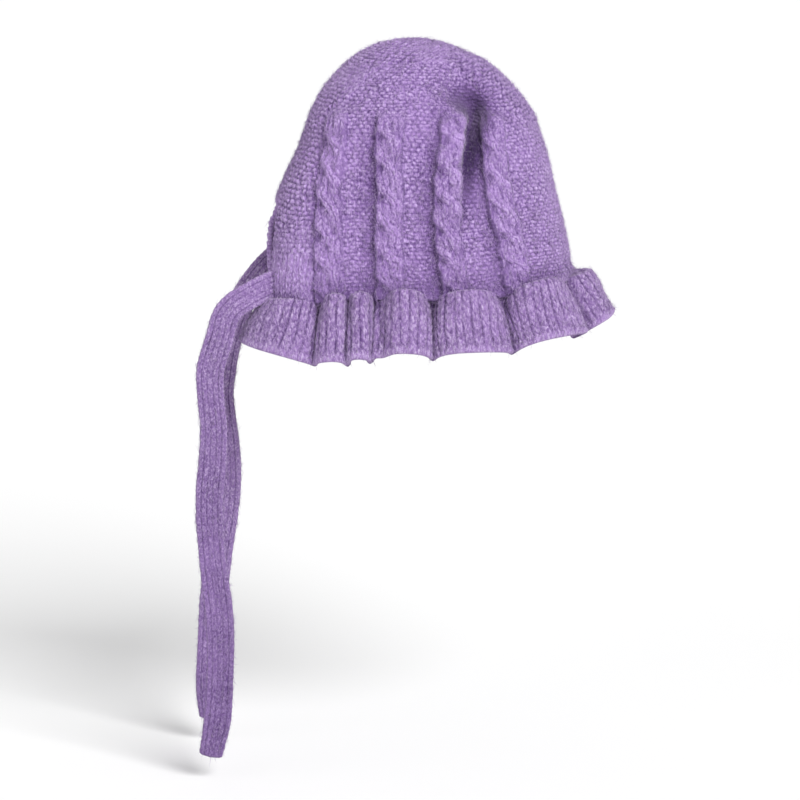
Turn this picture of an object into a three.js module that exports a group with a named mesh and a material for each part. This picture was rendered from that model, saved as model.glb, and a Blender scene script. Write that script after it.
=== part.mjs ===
// Knitted winter bonnet for a small child: a deep crown with cabled sides and a
// seed-stitch front, a gathered ruffle round the lower edge and two long flat ties.
// Millimetres, +Z up. The face opening looks along -X and the back of the head is +X,
// so the wearer's right side is +Y, the far side, and the near side is -Y.
// The origin is the highest point of the hollow, where the crown sits on the head.

import * as THREE from 'three';

// Crown and sides
const crownDepth = 152;
const frontReach = 93;
const backReach = 98;
const sideReach = 62;
const wall = 3;

// Lower edge and face opening
const faceWidth = 92;
const faceHeight = 58;
const cornerDrop = 5;
const backRise = 6;
const farCornerLead = 5;

// Where those shifts grow from nothing to full, as shares of the way down, to the face or back
const shiftFrom = 0.6;
const cornerDropReach = [0.35, 0.92];
const backRiseReach = [0.3, 1];
const leadReach = [0.5, 0.95];
const leadRun = [0.7, 0.82];

// Cables, the grooves beside them and the seed-stitch band
const cableWidth = 16.5;
const cableHeight = 3;
const cableTop = 41;
const grooveDepth = 0.8;
const bandHeight = 0.8;
const cableFade = 0.03;
const cableShoulder = 0.25;

// Fold behind the third cable of the near side: creaseSteep and creaseGentle are how far
// it spreads toward the face and toward the back
const creaseDepth = 11;
const creasePlace = 32;
const creaseSteep = 7;
const creaseGentle = 12;
const creaseReach = 12;
const creaseTurn = 0.45;

// Ruffle
const ruffleLength = 37;
const ruffleWall = 2.6;
const foldDepth = 10;
const foldTuck = 2.5;
const foldSwell = 1.6;
const foldSquareness = 3.2;
const flareAtSeam = 0.7;
const foldRise = 0.4;
const endLift = 0.3;
const endLiftRun = 28;
const seamGap = 0.3;
const foldBlend = 0.5;

// Ties
const tieWidth = 18;
const tieThickness = 4.6;
const tieRoundness = 0.6;

// Mesh counts
const upperRows = 20;
const lowerRows = 8;
const panelColumns = 4;
const bandColumns = 4;
const backColumns = 6;
const groundColumns = 2;
const foldColumns = 8;
const tieSides = 10;
const stepsPerSpot = 2;
const halfSteps = 240;
const probe = 0.004;
const ruffleProbe = 0.6;

// Outside sections from the crown top down. along is the share of the way down the side,
// drop is a share of crownDepth, front, back and side are shares of the three reaches, and
// the last two say how square the section is ahead of and behind its widest place.
const sections = [
  { along: 0, drop: 0, front: 0, back: 0, side: 0, frontSquare: 2.1, backSquare: 2.1 },
  { along: 0.05, drop: 0.007, front: 0.12, back: 0.1, side: 0.15, frontSquare: 2.1, backSquare: 2.1 },
  { along: 0.1, drop: 0.024, front: 0.24, back: 0.2, side: 0.29, frontSquare: 2.1, backSquare: 2.1 },
  { along: 0.147, drop: 0.049, front: 0.333, back: 0.32, side: 0.42, frontSquare: 2.2, backSquare: 2.2 },
  { along: 0.214, drop: 0.098, front: 0.446, back: 0.485, side: 0.58, frontSquare: 2.2, backSquare: 2.3 },
  { along: 0.32, drop: 0.196, front: 0.59, back: 0.645, side: 0.782, frontSquare: 2.3, backSquare: 2.4 },
  { along: 0.412, drop: 0.295, front: 0.677, back: 0.75, side: 0.911, frontSquare: 2.5, backSquare: 2.5 },
  { along: 0.537, drop: 0.442, front: 0.762, back: 0.825, side: 0.992, frontSquare: 2.7, backSquare: 2.6 },
  { along: 0.698, drop: 0.638, front: 0.905, back: 0.895, side: 1.016, frontSquare: 3.3, backSquare: 2.6 },
  { along: 0.861, drop: 0.834, front: 0.972, back: 0.961, side: 1.008, frontSquare: 3.9, backSquare: 2.6 },
  { along: 1, drop: 1, front: 1, back: 1, side: 1, frontSquare: 4, backSquare: 2.6 },
];

// Where the lines of the knitting cross the sections: edge is how wide the front corner
// lines stand as a share of faceWidth, narrowed as the section is, and the cable centres
// are shares of the front and back reaches.
const lines = [
  { along: 0, edge: 0.674, first: 0.75, second: 0.24, third: 0.337, fourth: 0.665 },
  { along: 0.385, edge: 0.674, first: 0.75, second: 0.24, third: 0.337, fourth: 0.665 },
  { along: 0.537, edge: 0.674, first: 0.697, second: 0.207, third: 0.271, fourth: 0.598 },
  { along: 0.698, edge: 0.66, first: 0.62, second: 0.176, third: 0.223, fourth: 0.61 },
  { along: 0.861, edge: 0.849, first: 0.575, second: 0.163, third: 0.24, fourth: 0.64 },
  { along: 1, edge: 1, first: 0.567, second: 0.16, third: 0.262, fourth: 0.66 },
];

// How deep the near fold is at shares of the way down, from the crown top.
const creaseRun = [
  { along: 0, depth: 0 },
  { along: 0.12, depth: 0.3 },
  { along: 0.2, depth: 0.6 },
  { along: 0.3, depth: 1 },
  { along: 0.5, depth: 0.95 },
  { along: 0.65, depth: 0.5 },
  { along: 0.78, depth: 0 },
  { along: 1, depth: 0 },
];

// Folds of the ruffle, from the near front corner round the back to the far one. from and to
// are shares of the lower edge and depth is a share of foldDepth. length is the fabric's own,
// lean is how far the free edge slides along the seam and flare how far it stands out, all
// three as shares of ruffleLength.
const folds = [
  { from: 0, to: 0.0475, length: 0.95, depth: 0.75, lean: -0.56, flare: 0.3 },
  { from: 0.0475, to: 0.102, length: 1.09, depth: 0.9, lean: -0.1, flare: 0.2 },
  { from: 0.102, to: 0.145, length: 1.07, depth: 0.95, lean: -0.12, flare: 0.22 },
  { from: 0.145, to: 0.224, length: 1, depth: 1.15, lean: -0.02, flare: 0.24 },
  { from: 0.224, to: 0.322, length: 0.98, depth: 1.05, lean: 0.04, flare: 0.26 },
  { from: 0.322, to: 0.4525, length: 0.95, depth: 1.2, lean: 0.08, flare: 0.36 },
  { from: 0.4525, to: 0.543, length: 0.92, depth: 1.3, lean: 0, flare: 0.5 },
  { from: 0.543, to: 0.632, length: 0.97, depth: 1.1, lean: -0.04, flare: 0.42 },
  { from: 0.632, to: 0.716, length: 1, depth: 1.05, lean: 0, flare: 0.32 },
  { from: 0.716, to: 0.786, length: 1.02, depth: 0.95, lean: 0.03, flare: 0.26 },
  { from: 0.786, to: 0.858, length: 1, depth: 1.05, lean: -0.03, flare: 0.24 },
  { from: 0.858, to: 0.93, length: 1.02, depth: 0.9, lean: 0.06, flare: 0.24 },
  { from: 0.93, to: 1, length: 0.97, depth: 0.75, lean: 0.12, flare: 0.26 },
];

// How the folds open from the seam to the free edge.
const ruffleRows = [
  { down: 0, open: 0, swing: 0 },
  { down: 0.08, open: 0.5, swing: 0.04 },
  { down: 0.22, open: 0.82, swing: 0.16 },
  { down: 0.48, open: 0.95, swing: 0.42 },
  { down: 0.76, open: 1, swing: 0.72 },
  { down: 1, open: 1.05, swing: 1 },
];

// Centre lines of the ties, chosen by hand, from the sewn end to the free end.
const nearTiePath = [
  [-87.4, -46.6, -142.2],
  [-94.2, -47.3, -143.3],
  [-101.7, -48.1, -146.3],
  [-108.5, -48.8, -150.6],
  [-113.5, -49.2, -156.2],
  [-116, -49.4, -163.7],
  [-118, -49.4, -173.2],
  [-121.2, -49.4, -183.3],
  [-123.9, -49.4, -192.7],
  [-124.4, -49.2, -203.4],
  [-123.6, -49.2, -216],
  [-123.4, -49.2, -230.5],
  [-124.6, -49, -250.7],
  [-125.9, -49, -269.6],
  [-125.2, -49, -288.4],
  [-124, -49, -307.3],
  [-122.1, -49, -326.2],
  [-119.7, -49, -346.3],
  [-119, -49, -370.3],
  [-119.7, -49, -392.3],
  [-121.5, -49, -414.3],
  [-125.9, -49, -437],
];
const farTiePath = [
  [-93.4, 46.6, -142.8],
  [-97.4, 47, -144],
  [-102.2, 47.3, -148.8],
  [-106.8, 47.7, -157.2],
  [-110.6, 48.2, -167],
  [-114.7, 49, -183],
  [-117.8, 49, -195.6],
  [-120.6, 49, -214.5],
  [-121.5, 49, -230.2],
  [-118.7, 49, -255.4],
  [-117.5, 49, -278.1],
  [-119, 49, -300.7],
  [-122.1, 49, -330.9],
  [-125.5, 49, -362.4],
  [-127.1, 49, -393.9],
  [-127.7, 49, -419.1],
  [-129, 49, -434.2],
];

// Rows of a table, read between its lines along a smooth curve.
function read(table, key, name, at) {
  const last = table.length - 1;
  let i = 0;
  while (i < last - 1 && at > table[i + 1][key]) {
    i += 1;
  }
  const a = table[i];
  const b = table[i + 1];
  const before = table[Math.max(i - 1, 0)];
  const after = table[Math.min(i + 2, last)];
  const span = b[key] - a[key];
  const u = THREE.MathUtils.clamp((at - a[key]) / span, 0, 1);
  const slopeAt = (p, q) => (p === q ? 0 : (q[name] - p[name]) / (q[key] - p[key]));
  const inSlope = (i === 0 ? slopeAt(a, b) : slopeAt(before, b)) * span;
  const outSlope = (i === last - 1 ? slopeAt(a, b) : slopeAt(a, after)) * span;
  const u2 = u * u;
  const u3 = u2 * u;
  return (2 * u3 - 3 * u2 + 1) * a[name] + (u3 - 2 * u2 + u) * inSlope
    + (3 * u2 - 2 * u3) * b[name] + (u3 - u2) * outSlope;
}

const ease = THREE.MathUtils.smoothstep;
const mix = THREE.MathUtils.lerp;

// One half of a section, from the middle of the front (angle 0) to the middle of the back.
function halfSection(along) {
  const drop = read(sections, 'along', 'drop', along) * crownDepth;
  const front = read(sections, 'along', 'front', along) * frontReach;
  const back = read(sections, 'along', 'back', along) * backReach;
  const side = read(sections, 'along', 'side', along) * sideReach;
  const frontPower = 2 / read(sections, 'along', 'frontSquare', along);
  const backPower = 2 / read(sections, 'along', 'backSquare', along);
  const spots = [];
  let length = 0;
  for (let i = 0; i <= halfSteps; i += 1) {
    const angle = (Math.PI * i) / halfSteps;
    const ahead = Math.cos(angle);
    const power = ahead > 0 ? frontPower : backPower;
    const reach = ahead > 0 ? -front : back;
    const x = reach * Math.abs(ahead) ** power;
    const y = side * Math.sin(angle) ** power;
    if (i > 0) {
      length += Math.hypot(x - spots[i - 1].x, y - spots[i - 1].y);
    }
    spots.push({ x, y, length });
  }
  return { along, drop, front, back, side, spots, length };
}

// The distance round the section, from the middle of the front, where x or y first gets to a value.
function lengthWhere(section, name, value) {
  const i = Math.max(section.spots.findIndex((spot) => spot[name] >= value), 1);
  const a = section.spots[i - 1];
  const b = section.spots[i];
  const u = THREE.MathUtils.clamp((value - a[name]) / Math.max(b[name] - a[name], 1e-9), 0, 1);
  return mix(a.length, b.length, u);
}

function spotAt(section, length) {
  const wanted = THREE.MathUtils.clamp(length, 0, section.length);
  let i = 1;
  while (i < halfSteps && section.spots[i].length < wanted) {
    i += 1;
  }
  const a = section.spots[i - 1];
  const b = section.spots[i];
  const u = b.length > a.length ? (wanted - a.length) / (b.length - a.length) : 0;
  return { x: mix(a.x, b.x, u), y: mix(a.y, b.y, u) };
}

// The section at which the cables end, and the knitting lines of any section as distances round it.
const topSection = halfSection(read(sections, 'drop', 'along', cableTop / crownDepth));

function knitLines(section) {
  const at = (name) => read(lines, 'along', name, section.along);
  const narrowing = Math.min(section.length / topSection.length, 1);
  return {
    edge: lengthWhere(section, 'y', at('edge') * (faceWidth / 2) * (section.side / sideReach)),
    cables: [
      lengthWhere(section, 'x', -at('first') * section.front),
      lengthWhere(section, 'x', -at('second') * section.front),
      lengthWhere(section, 'x', at('third') * section.back),
      lengthWhere(section, 'x', at('fourth') * section.back),
    ],
    halfCable: (cableWidth / 2) * narrowing,
    end: section.length,
  };
}

// Columns of one half, each with its distance round the section and what it carries.
function columnsOf(section) {
  const marks = knitLines(section);
  const columns = [];
  const spread = (from, to, count, kind) => {
    for (let i = 1; i < count; i += 1) {
      columns.push({ length: mix(from, to, i / count), kind });
    }
  };
  columns.push({ length: 0, kind: 'front' });
  spread(0, marks.edge, panelColumns, 'front');
  columns.push({ length: marks.edge, kind: 'band' });
  let from = marks.edge;
  marks.cables.forEach((centre, number) => {
    const left = centre - marks.halfCable;
    const right = centre + marks.halfCable;
    if (number === 0) {
      spread(from, left, bandColumns, 'band');
    } else {
      spread(from, left, groundColumns, 'ground');
    }
    columns.push({ length: left, kind: 'groove' });
    columns.push({ length: mix(left, right, cableShoulder), kind: 'cable' });
    columns.push({ length: mix(left, right, 1 - cableShoulder), kind: 'cable' });
    columns.push({ length: right, kind: 'groove' });
    from = right;
  });
  spread(from, marks.end, backColumns, 'ground');
  columns.push({ length: marks.end, kind: 'ground' });
  return columns;
}

// A point of the smooth fabric, before cables and bands are raised on it.
function fabricPoint(section, length, side) {
  const spot = spotAt(section, length);
  const frontShare = -spot.x / frontReach;
  const backShare = spot.x / backReach;
  const low = ease(section.along, shiftFrom, 1);
  const rimShift = cornerDrop * ease(frontShare, ...cornerDropReach)
    - backRise * ease(backShare, ...backRiseReach);
  const cornerLead = farCornerLead * ease(frontShare, ...leadReach) * ease(section.along, ...leadRun);
  const lead = side > 0 ? cornerLead : 0;
  const point = new THREE.Vector3(
    spot.x - lead,
    side * spot.y,
    wall - section.drop - rimShift * low,
  );
  const off = spot.x - creasePlace;
  const spread = off < 0 ? creaseSteep : creaseGentle;
  const depth = creaseDepth * read(creaseRun, 'along', 'depth', section.along)
    * Math.exp(-((off / spread) ** 2)) * (1 - ease(side * spot.y, -creaseReach, creaseReach));
  const tilt = (Math.PI / 2) * (1 - ease(section.along, 0, creaseTurn));
  point.y += depth * Math.cos(tilt);
  point.z -= depth * Math.sin(tilt);
  return point;
}

// Outward direction of the smooth fabric, from points a little to each side.
function fabricNormal(section, length, side) {
  const upper = halfSection(Math.max(section.along - probe, probe / 2));
  const lower = halfSection(Math.min(section.along + probe, 1));
  const share = length / section.length;
  const up = fabricPoint(upper, share * upper.length, side);
  const down = fabricPoint(lower, share * lower.length, side);
  const ahead = fabricPoint(section, length - 1, side);
  const behind = fabricPoint(section, length + 1, side);
  if (length < 1 || length > section.length - 1) {
    const here = fabricPoint(section, length, side);
    const other = fabricPoint(section, length < 1 ? length + 1 : length - 1, side);
    other.y = 2 * here.y - other.y;
    if (length < 1) {
      ahead.copy(other);
    } else {
      behind.copy(other);
    }
  }
  const round = behind.sub(ahead);
  const fall = down.sub(up);
  const normal = round.cross(fall).normalize();
  return normal.multiplyScalar(side);
}

// Closed solid between two skins of the same grid of cells. Columns may wrap round, the
// first row may be one point, and cells where present() is false are left open.
function shellGeometry(outer, inner, wraps, present) {
  const columns = outer.length;
  const rows = outer[0].length;
  const cellsAround = wraps ? columns : columns - 1;
  const pointTop = outer[0][0].equals(outer[1][0]);
  const positions = [];
  const numbers = new Map();
  const index = [];
  const vertex = (skin, i, j) => {
    const column = pointTop && j === 0 ? 0 : i % columns;
    const key = `${skin === outer ? 'o' : 'i'}${column}_${j}`;
    if (!numbers.has(key)) {
      numbers.set(key, positions.length / 3);
      positions.push(...skin[column][j].toArray());
    }
    return numbers.get(key);
  };
  const face = (a, b, c) => {
    if (a !== b && b !== c && a !== c) {
      index.push(a, b, c);
    }
  };
  const quad = (a, b, c, d) => {
    face(a, b, c);
    face(a, c, d);
  };
  const has = (i, j) => {
    if (j < 0 || j >= rows - 1) {
      return false;
    }
    if (!wraps && (i < 0 || i >= cellsAround)) {
      return false;
    }
    return present((i + cellsAround) % cellsAround, j);
  };
  for (let i = 0; i < cellsAround; i += 1) {
    for (let j = 0; j < rows - 1; j += 1) {
      if (has(i, j)) {
        const corners = (skin) => [
          vertex(skin, i, j),
          vertex(skin, i, j + 1),
          vertex(skin, i + 1, j + 1),
          vertex(skin, i + 1, j),
        ];
        const [outStart, outBelow, outAcross, outNext] = corners(outer);
        const [inStart, inBelow, inAcross, inNext] = corners(inner);
        quad(outStart, outBelow, outAcross, outNext);
        quad(inStart, inNext, inAcross, inBelow);
        if (!has(i, j + 1)) {
          quad(outAcross, outBelow, inBelow, inAcross);
        }
        if (!has(i, j - 1) && !(pointTop && j === 0)) {
          quad(outStart, outNext, inNext, inStart);
        }
        if (!has(i - 1, j)) {
          quad(outBelow, outStart, inStart, inBelow);
        }
        if (!has(i + 1, j)) {
          quad(outNext, outAcross, inAcross, inNext);
        }
      }
    }
  }
  const geometry = new THREE.BufferGeometry();
  geometry.setAttribute('position', new THREE.Float32BufferAttribute(positions, 3));
  geometry.setIndex(index);
  geometry.computeVertexNormals();
  return geometry;
}

// Crown and sides
function makeBody() {
  const faceTop = crownDepth + cornerDrop - faceHeight;
  const faceAlong = read(sections, 'drop', 'along', faceTop / crownDepth);
  const stations = [];
  for (let j = 0; j <= upperRows; j += 1) {
    stations.push((faceAlong * j) / upperRows);
  }
  for (let j = 1; j <= lowerRows; j += 1) {
    stations.push(mix(faceAlong, 1, j / lowerRows));
  }
  const top = new THREE.Vector3(0, 0, wall);
  const topInside = new THREE.Vector3(0, 0, 0);
  const rows = stations.map((along, j) => {
    if (j === 0) {
      return null;
    }
    const section = halfSection(along);
    const half = columnsOf(section);
    const near = half.map((column) => ({ ...column, side: -1 }));
    const far = half.slice(1, -1).reverse().map((column) => ({ ...column, side: 1 }));
    return [...near, ...far].map((column) => {
      const base = fabricPoint(section, column.length, column.side);
      const normal = fabricNormal(section, column.length, column.side);
      const sidePart = ease(along, topSection.along - cableFade, topSection.along + cableFade);
      let relief = 0;
      if (column.kind === 'cable') {
        relief = cableHeight * sidePart;
      } else if (column.kind === 'groove') {
        relief = -grooveDepth * sidePart;
      } else if (column.kind === 'band' || column.kind === 'front') {
        relief = bandHeight * sidePart;
      }
      return {
        outer: base.clone().addScaledVector(normal, relief),
        inner: base.clone().addScaledVector(normal, -wall),
      };
    });
  });
  const count = rows[1].length;
  const outer = [];
  const inner = [];
  for (let i = 0; i < count; i += 1) {
    outer.push(rows.map((row, j) => (j === 0 ? top : row[i].outer)));
    inner.push(rows.map((row, j) => (j === 0 ? topInside : row[i].inner)));
  }
  const inFace = (i) => i < panelColumns || i >= count - panelColumns;
  return shellGeometry(outer, inner, true, (i, j) => j < upperRows || !inFace(i));
}

// The lower edge as one run from the near front corner to the far one.
const rim = halfSection(1);
const rimMarks = knitLines(rim);
const rimHalf = rim.length - rimMarks.edge;
const rimRun = 2 * rimHalf;

function rimSpot(run) {
  const side = run <= rimHalf ? -1 : 1;
  const length = side < 0 ? rimMarks.edge + run : rim.length - (run - rimHalf);
  const normal = fabricNormal(rim, length, side);
  const out = new THREE.Vector3(normal.x, normal.y, 0).normalize();
  const place = fabricPoint(rim, length, side).addScaledVector(normal, -wall / 2);
  const onward = new THREE.Vector3(-out.y, out.x, 0);
  return { place, out, onward };
}

function rufflePoint(run, row) {
  const share = run / rimRun;
  const number = folds.findIndex((fold) => share <= fold.to + 1e-9);
  const fold = folds[number];
  const across = (share - fold.from) / (fold.to - fold.from);
  const spot = rimSpot(run);
  const bulge = 1 - Math.abs(2 * across - 1) ** foldSquareness;
  const beside = THREE.MathUtils.clamp(across < 0.5 ? number - 1 : number + 1, 0, folds.length - 1);
  const smooth = (name) => {
    const weight = foldBlend * Math.abs(2 * across - 1) ** 2;
    return mix(fold[name], folds[beside][name], weight);
  };
  const depth = foldDepth * smooth('depth');
  const angle = Math.asin(smooth('flare'));
  const hang = ruffleLength * smooth('length') * row.down;
  const outward = hang * Math.sin(angle) * mix(flareAtSeam, 1, row.down)
    + (depth * bulge - foldTuck) * row.open;
  const nearEnd = 1 - ease(Math.min(run, rimRun - run), 0, endLiftRun);
  const fall = hang * Math.cos(angle) * (1 - endLift * nearEnd) - foldRise * depth * bulge * row.down;
  const slide = ruffleLength * smooth('lean') * row.swing
    - foldSwell * Math.sin(2 * Math.PI * across) * row.open;
  const point = spot.place.clone();
  point.addScaledVector(spot.out, outward);
  point.addScaledVector(spot.onward, slide);
  point.z -= seamGap + fall;
  return point;
}

function makeRuffle() {
  const runs = [];
  folds.forEach((fold, number) => {
    for (let i = number === 0 ? 0 : 1; i <= foldColumns; i += 1) {
      runs.push(mix(fold.from, fold.to, i / foldColumns) * rimRun);
    }
  });
  const outer = [];
  const inner = [];
  runs.forEach((run) => {
    const outerColumn = [];
    const innerColumn = [];
    ruffleRows.forEach((row, j) => {
      const before = rufflePoint(Math.max(run - ruffleProbe, 0), row);
      const after = rufflePoint(Math.min(run + ruffleProbe, rimRun), row);
      const above = rufflePoint(run, ruffleRows[Math.max(j - 1, 0)]);
      const below = rufflePoint(run, ruffleRows[Math.min(j + 1, ruffleRows.length - 1)]);
      const normal = after.sub(before).cross(above.sub(below)).normalize();
      if (j === 0) {
        normal.z = 0;
        normal.normalize();
      }
      const middle = rufflePoint(run, row);
      outerColumn.push(middle.clone().addScaledVector(normal, ruffleWall / 2));
      innerColumn.push(middle.clone().addScaledVector(normal, -ruffleWall / 2));
    });
    outer.push(outerColumn);
    inner.push(innerColumn);
  });
  return shellGeometry(outer, inner, false, () => true);
}

// A flat tie, swept along its centre line
function makeTie(path) {
  const section = new THREE.Shape();
  const reach = (value, half) => Math.sign(value) * Math.abs(value) ** tieRoundness * half;
  for (let i = 0; i < tieSides; i += 1) {
    const angle = (2 * Math.PI * (i + 0.5)) / tieSides;
    const thick = reach(Math.cos(angle), tieThickness / 2);
    const wide = reach(Math.sin(angle), tieWidth / 2);
    if (i === 0) {
      section.moveTo(thick, wide);
    } else {
      section.lineTo(thick, wide);
    }
  }
  section.closePath();
  const curve = new THREE.CatmullRomCurve3(path.map((spot) => new THREE.Vector3(...spot)));
  return new THREE.ExtrudeGeometry(section, {
    steps: stepsPerSpot * (path.length - 1),
    extrudePath: curve,
    bevelEnabled: false,
  });
}

const yarn = new THREE.MeshStandardMaterial({ color: 0xa583c9, roughness: 0.95, metalness: 0 });
const shadedYarn = new THREE.MeshStandardMaterial({ color: 0x9877bf, roughness: 0.95, metalness: 0 });

function named(name, geometry, material) {
  const mesh = new THREE.Mesh(geometry, material);
  mesh.name = name;
  return mesh;
}

const bonnet = new THREE.Group();
bonnet.add(named('body', makeBody(), yarn));
bonnet.add(named('ruffle', makeRuffle(), yarn));
bonnet.add(named('tie_near', makeTie(nearTiePath), shadedYarn));
bonnet.add(named('tie_far', makeTie(farTiePath), shadedYarn));

export default bonnet;
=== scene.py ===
import math

import bpy
import numpy as np
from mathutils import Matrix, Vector


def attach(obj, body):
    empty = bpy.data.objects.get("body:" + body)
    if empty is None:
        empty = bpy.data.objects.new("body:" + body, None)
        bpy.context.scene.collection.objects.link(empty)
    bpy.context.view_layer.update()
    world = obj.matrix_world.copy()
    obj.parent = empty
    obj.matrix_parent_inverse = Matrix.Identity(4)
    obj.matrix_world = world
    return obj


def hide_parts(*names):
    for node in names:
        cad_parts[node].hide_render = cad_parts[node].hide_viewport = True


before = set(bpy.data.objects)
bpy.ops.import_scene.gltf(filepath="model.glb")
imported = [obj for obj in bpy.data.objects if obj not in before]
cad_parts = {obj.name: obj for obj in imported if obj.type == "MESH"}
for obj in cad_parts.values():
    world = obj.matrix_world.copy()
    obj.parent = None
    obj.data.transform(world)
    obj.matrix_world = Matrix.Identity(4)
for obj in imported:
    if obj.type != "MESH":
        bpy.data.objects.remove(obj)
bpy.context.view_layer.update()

bl_info = {
    "name": "Knitted Winter Bonnet",
    "version": (1, 0, 0),
    "blender": (4, 5, 0),
    "location": "3D View > Sidebar > Bonnet",
    "description": "Builds a child's bonnet of brushed yarn with cables, a ruffle and two ties",
    "category": "Add Mesh",
}

# Lengths are millimetres until a mesh is made. -X is the face, +X the back of the head,
# -Y the near side and +Y the far side.
TO_METRES = 0.001
NEAR, FAR = -1, 1

# Sizes of the solid bonnet, which the knitting follows
CROWN_DEPTH = 152.0
FRONT_REACH = 93.0
BACK_REACH = 98.0
SIDE_REACH = 62.0
WALL = 3.0
FACE_WIDTH = 92.0
FACE_HEIGHT = 58.0
CORNER_DROP = 5.0
BACK_RISE = 6.0
FAR_CORNER_LEAD = 5.0
SHIFT_FROM = 0.6
CORNER_DROP_REACH = (0.35, 0.92)
BACK_RISE_REACH = (0.3, 1.0)
LEAD_REACH = (0.5, 0.95)
LEAD_RUN = (0.7, 0.82)
CABLE_WIDTH = 16.5
CABLE_TOP = 41.0
CABLE_FADE = 0.03
CREASE_DEPTH = 20.0
CREASE_SLIT = 7.0
CREASE_GENTLE = 19.0
CREASE_STEEPEST = 3.4
CREASE_SLIT_SHARE = 0.55
CREASE_OVERHANG = 2.4
CREASE_REACH = 26.0
CREASE_TURN = 0.45
# Painted shade in the fold: where it starts and is full, and its shares in the slit and on the slope
CREASE_PAINTED_SHADE_RUN = (0.04, 0.72)
SLIT_PAINTED_SHADE, SLIT_PAINTED_SHADE_POWER, SLOPE_PAINTED_SHADE = 0.8, 1.2, 0.4
RUFFLE_LENGTH = 37.0
RUFFLE_WALL = 2.6
FOLD_DEPTH = 10.0
FLARE_AT_SEAM = 0.7
FOLD_RISE = 0.62
END_LIFT = 0.3
END_LIFT_RUN = 28.0
SEAM_GAP = 0.3
FOLD_BLEND = 0.5
FOLD_OPENS = (0.1, 0.8)
FOLD_CLOSES_UP = (0.15, 0.75)
FOLD_ROUNDNESS = 2.0
FOLD_OPEN_TOP = 1.7
FOLD_GAP = 1.3
PUFF = 2.5
GATHER_TUCK = 6.5
GATHER_SWELL = 0.11
MOST_SWELL = 4.5
SWELL_GROWS = (0.1, 0.7)
END_SWING = 0.16
SEAM_ARCH = 6.5
ARCH_RUN = ((0.09, 0.2), (0.25, 0.8))
VALLEY_DEPTH = 1.8
STITCH_SINK = 0.9
TIE_WIDTH = 18.0
TIE_THICKNESS = 4.6
TIE_CUP = 1.8


def table(names, *rows):
    """A short table as one array for each named column."""
    return dict(zip(names.split(), np.array(rows, float).T))


# Outside sections from the crown top down: shares of the depth and of the three reaches,
# and how square the section is ahead of and behind its widest place
SECTIONS = table(
    "along drop front back side front_square back_square",
    (0, 0, 0, 0, 0, 2.1, 2.1),
    (0.05, 0.007, 0.12, 0.1, 0.15, 2.1, 2.1),
    (0.1, 0.024, 0.24, 0.2, 0.29, 2.1, 2.1),
    (0.147, 0.049, 0.333, 0.3, 0.42, 2.2, 2.2),
    (0.214, 0.098, 0.446, 0.46, 0.58, 2.2, 2.3),
    (0.32, 0.196, 0.59, 0.622, 0.782, 2.3, 2.4),
    (0.412, 0.295, 0.677, 0.735, 0.911, 2.5, 2.5),
    (0.537, 0.442, 0.762, 0.825, 0.992, 2.7, 2.6),
    (0.698, 0.638, 0.905, 0.895, 1.016, 3.3, 2.6),
    (0.861, 0.834, 0.972, 0.961, 1.008, 3.9, 2.6),
    (1, 1, 1, 1, 1, 4, 2.6),
)

# Where the front corner line and the middles of the four cables cross the sections
LINES = table(
    "along edge first second third fourth",
    (0, 0.674, 0.75, 0.24, 0.337, 0.665),
    (0.385, 0.674, 0.75, 0.24, 0.337, 0.665),
    (0.537, 0.674, 0.697, 0.207, 0.271, 0.598),
    (0.698, 0.66, 0.62, 0.176, 0.223, 0.61),
    (0.861, 0.849, 0.575, 0.163, 0.24, 0.64),
    (1, 1, 0.567, 0.16, 0.262, 0.66),
)

# Depth and place of the fold behind the third cable of the near side, and how gently it starts
CREASE_RUN = table(
    "along depth place steep",
    (0, 0, 22, 12), (0.18, 0, 26, 15), (0.27, 0.36, 30.5, 15), (0.34, 0.92, 34, 10),
    (0.39, 1.15, 33.5, 4.5), (0.45, 1.05, 31, CREASE_STEEPEST), (0.53, 0.75, 29.4, CREASE_STEEPEST),
    (0.67, 0.35, 29.4, CREASE_STEEPEST), (0.82, 0, 30, 4), (1, 0, 30, 4),
)

# How far down the seed stitch of the crown reaches, round one half from face to back
SEED_REACH = table(
    "share along",
    (0, 0.4), (0.17, 0.37), (0.25, 0.33), (0.28, 0.24), (0.33, 0.2), (0.41, 0.183),
    (0.62, 0.192), (0.71, 0.23), (0.76, 0.36), (0.85, 0.41), (0.94, 0.448), (1, 0.46),
)

# Folds of the ruffle from the near front corner round the back to the far one; "lean" is the
# sideways lean of the border at which a fold starts
FOLDS = table(
    "start end length depth lean flare arch dent dent_at",
    (0, 0.073, 0.98, 0.8, -0.68, 0.28, 0.5, 0, 0.5),
    (0.073, 0.111, 1.08, 0.9, -0.1, 0.2, 0.85, 0, 0.5),
    (0.111, 0.145, 1.07, 0.95, -0.02, 0.22, 0.85, 0, 0.5),
    (0.145, 0.224, 1, 1.15, -0.06, 0.24, 1.15, 0.3, 0.3),
    (0.224, 0.322, 0.98, 1.05, 0.02, 0.26, 1, 0, 0.5),
    (0.322, 0.432, 0.95, 1.2, 0.13, 0.34, 1, 0, 0.5),
    (0.432, 0.543, 0.92, 1.3, 0.17, 0.5, 0.4, 0.8, 0.12),
    (0.543, 0.632, 0.97, 1.1, 0.03, 0.42, 0.4, 0, 0.5),
    (0.632, 0.716, 1, 1.05, -0.02, 0.32, 0.8, 0, 0.5),
    (0.716, 0.786, 1.02, 0.95, 0.015, 0.26, 0.8, 0, 0.5),
    (0.786, 0.858, 1, 1.05, 0, 0.24, 0.8, 0, 0.5),
    (0.858, 0.93, 1.02, 0.9, 0.015, 0.24, 0.8, 0, 0.5),
    (0.93, 1, 0.97, 0.75, 0.09, 0.26, 0.6, 0, 0.5),
)
LAST_LEAN = 0.12
DENT_WIDTH = 0.09
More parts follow.
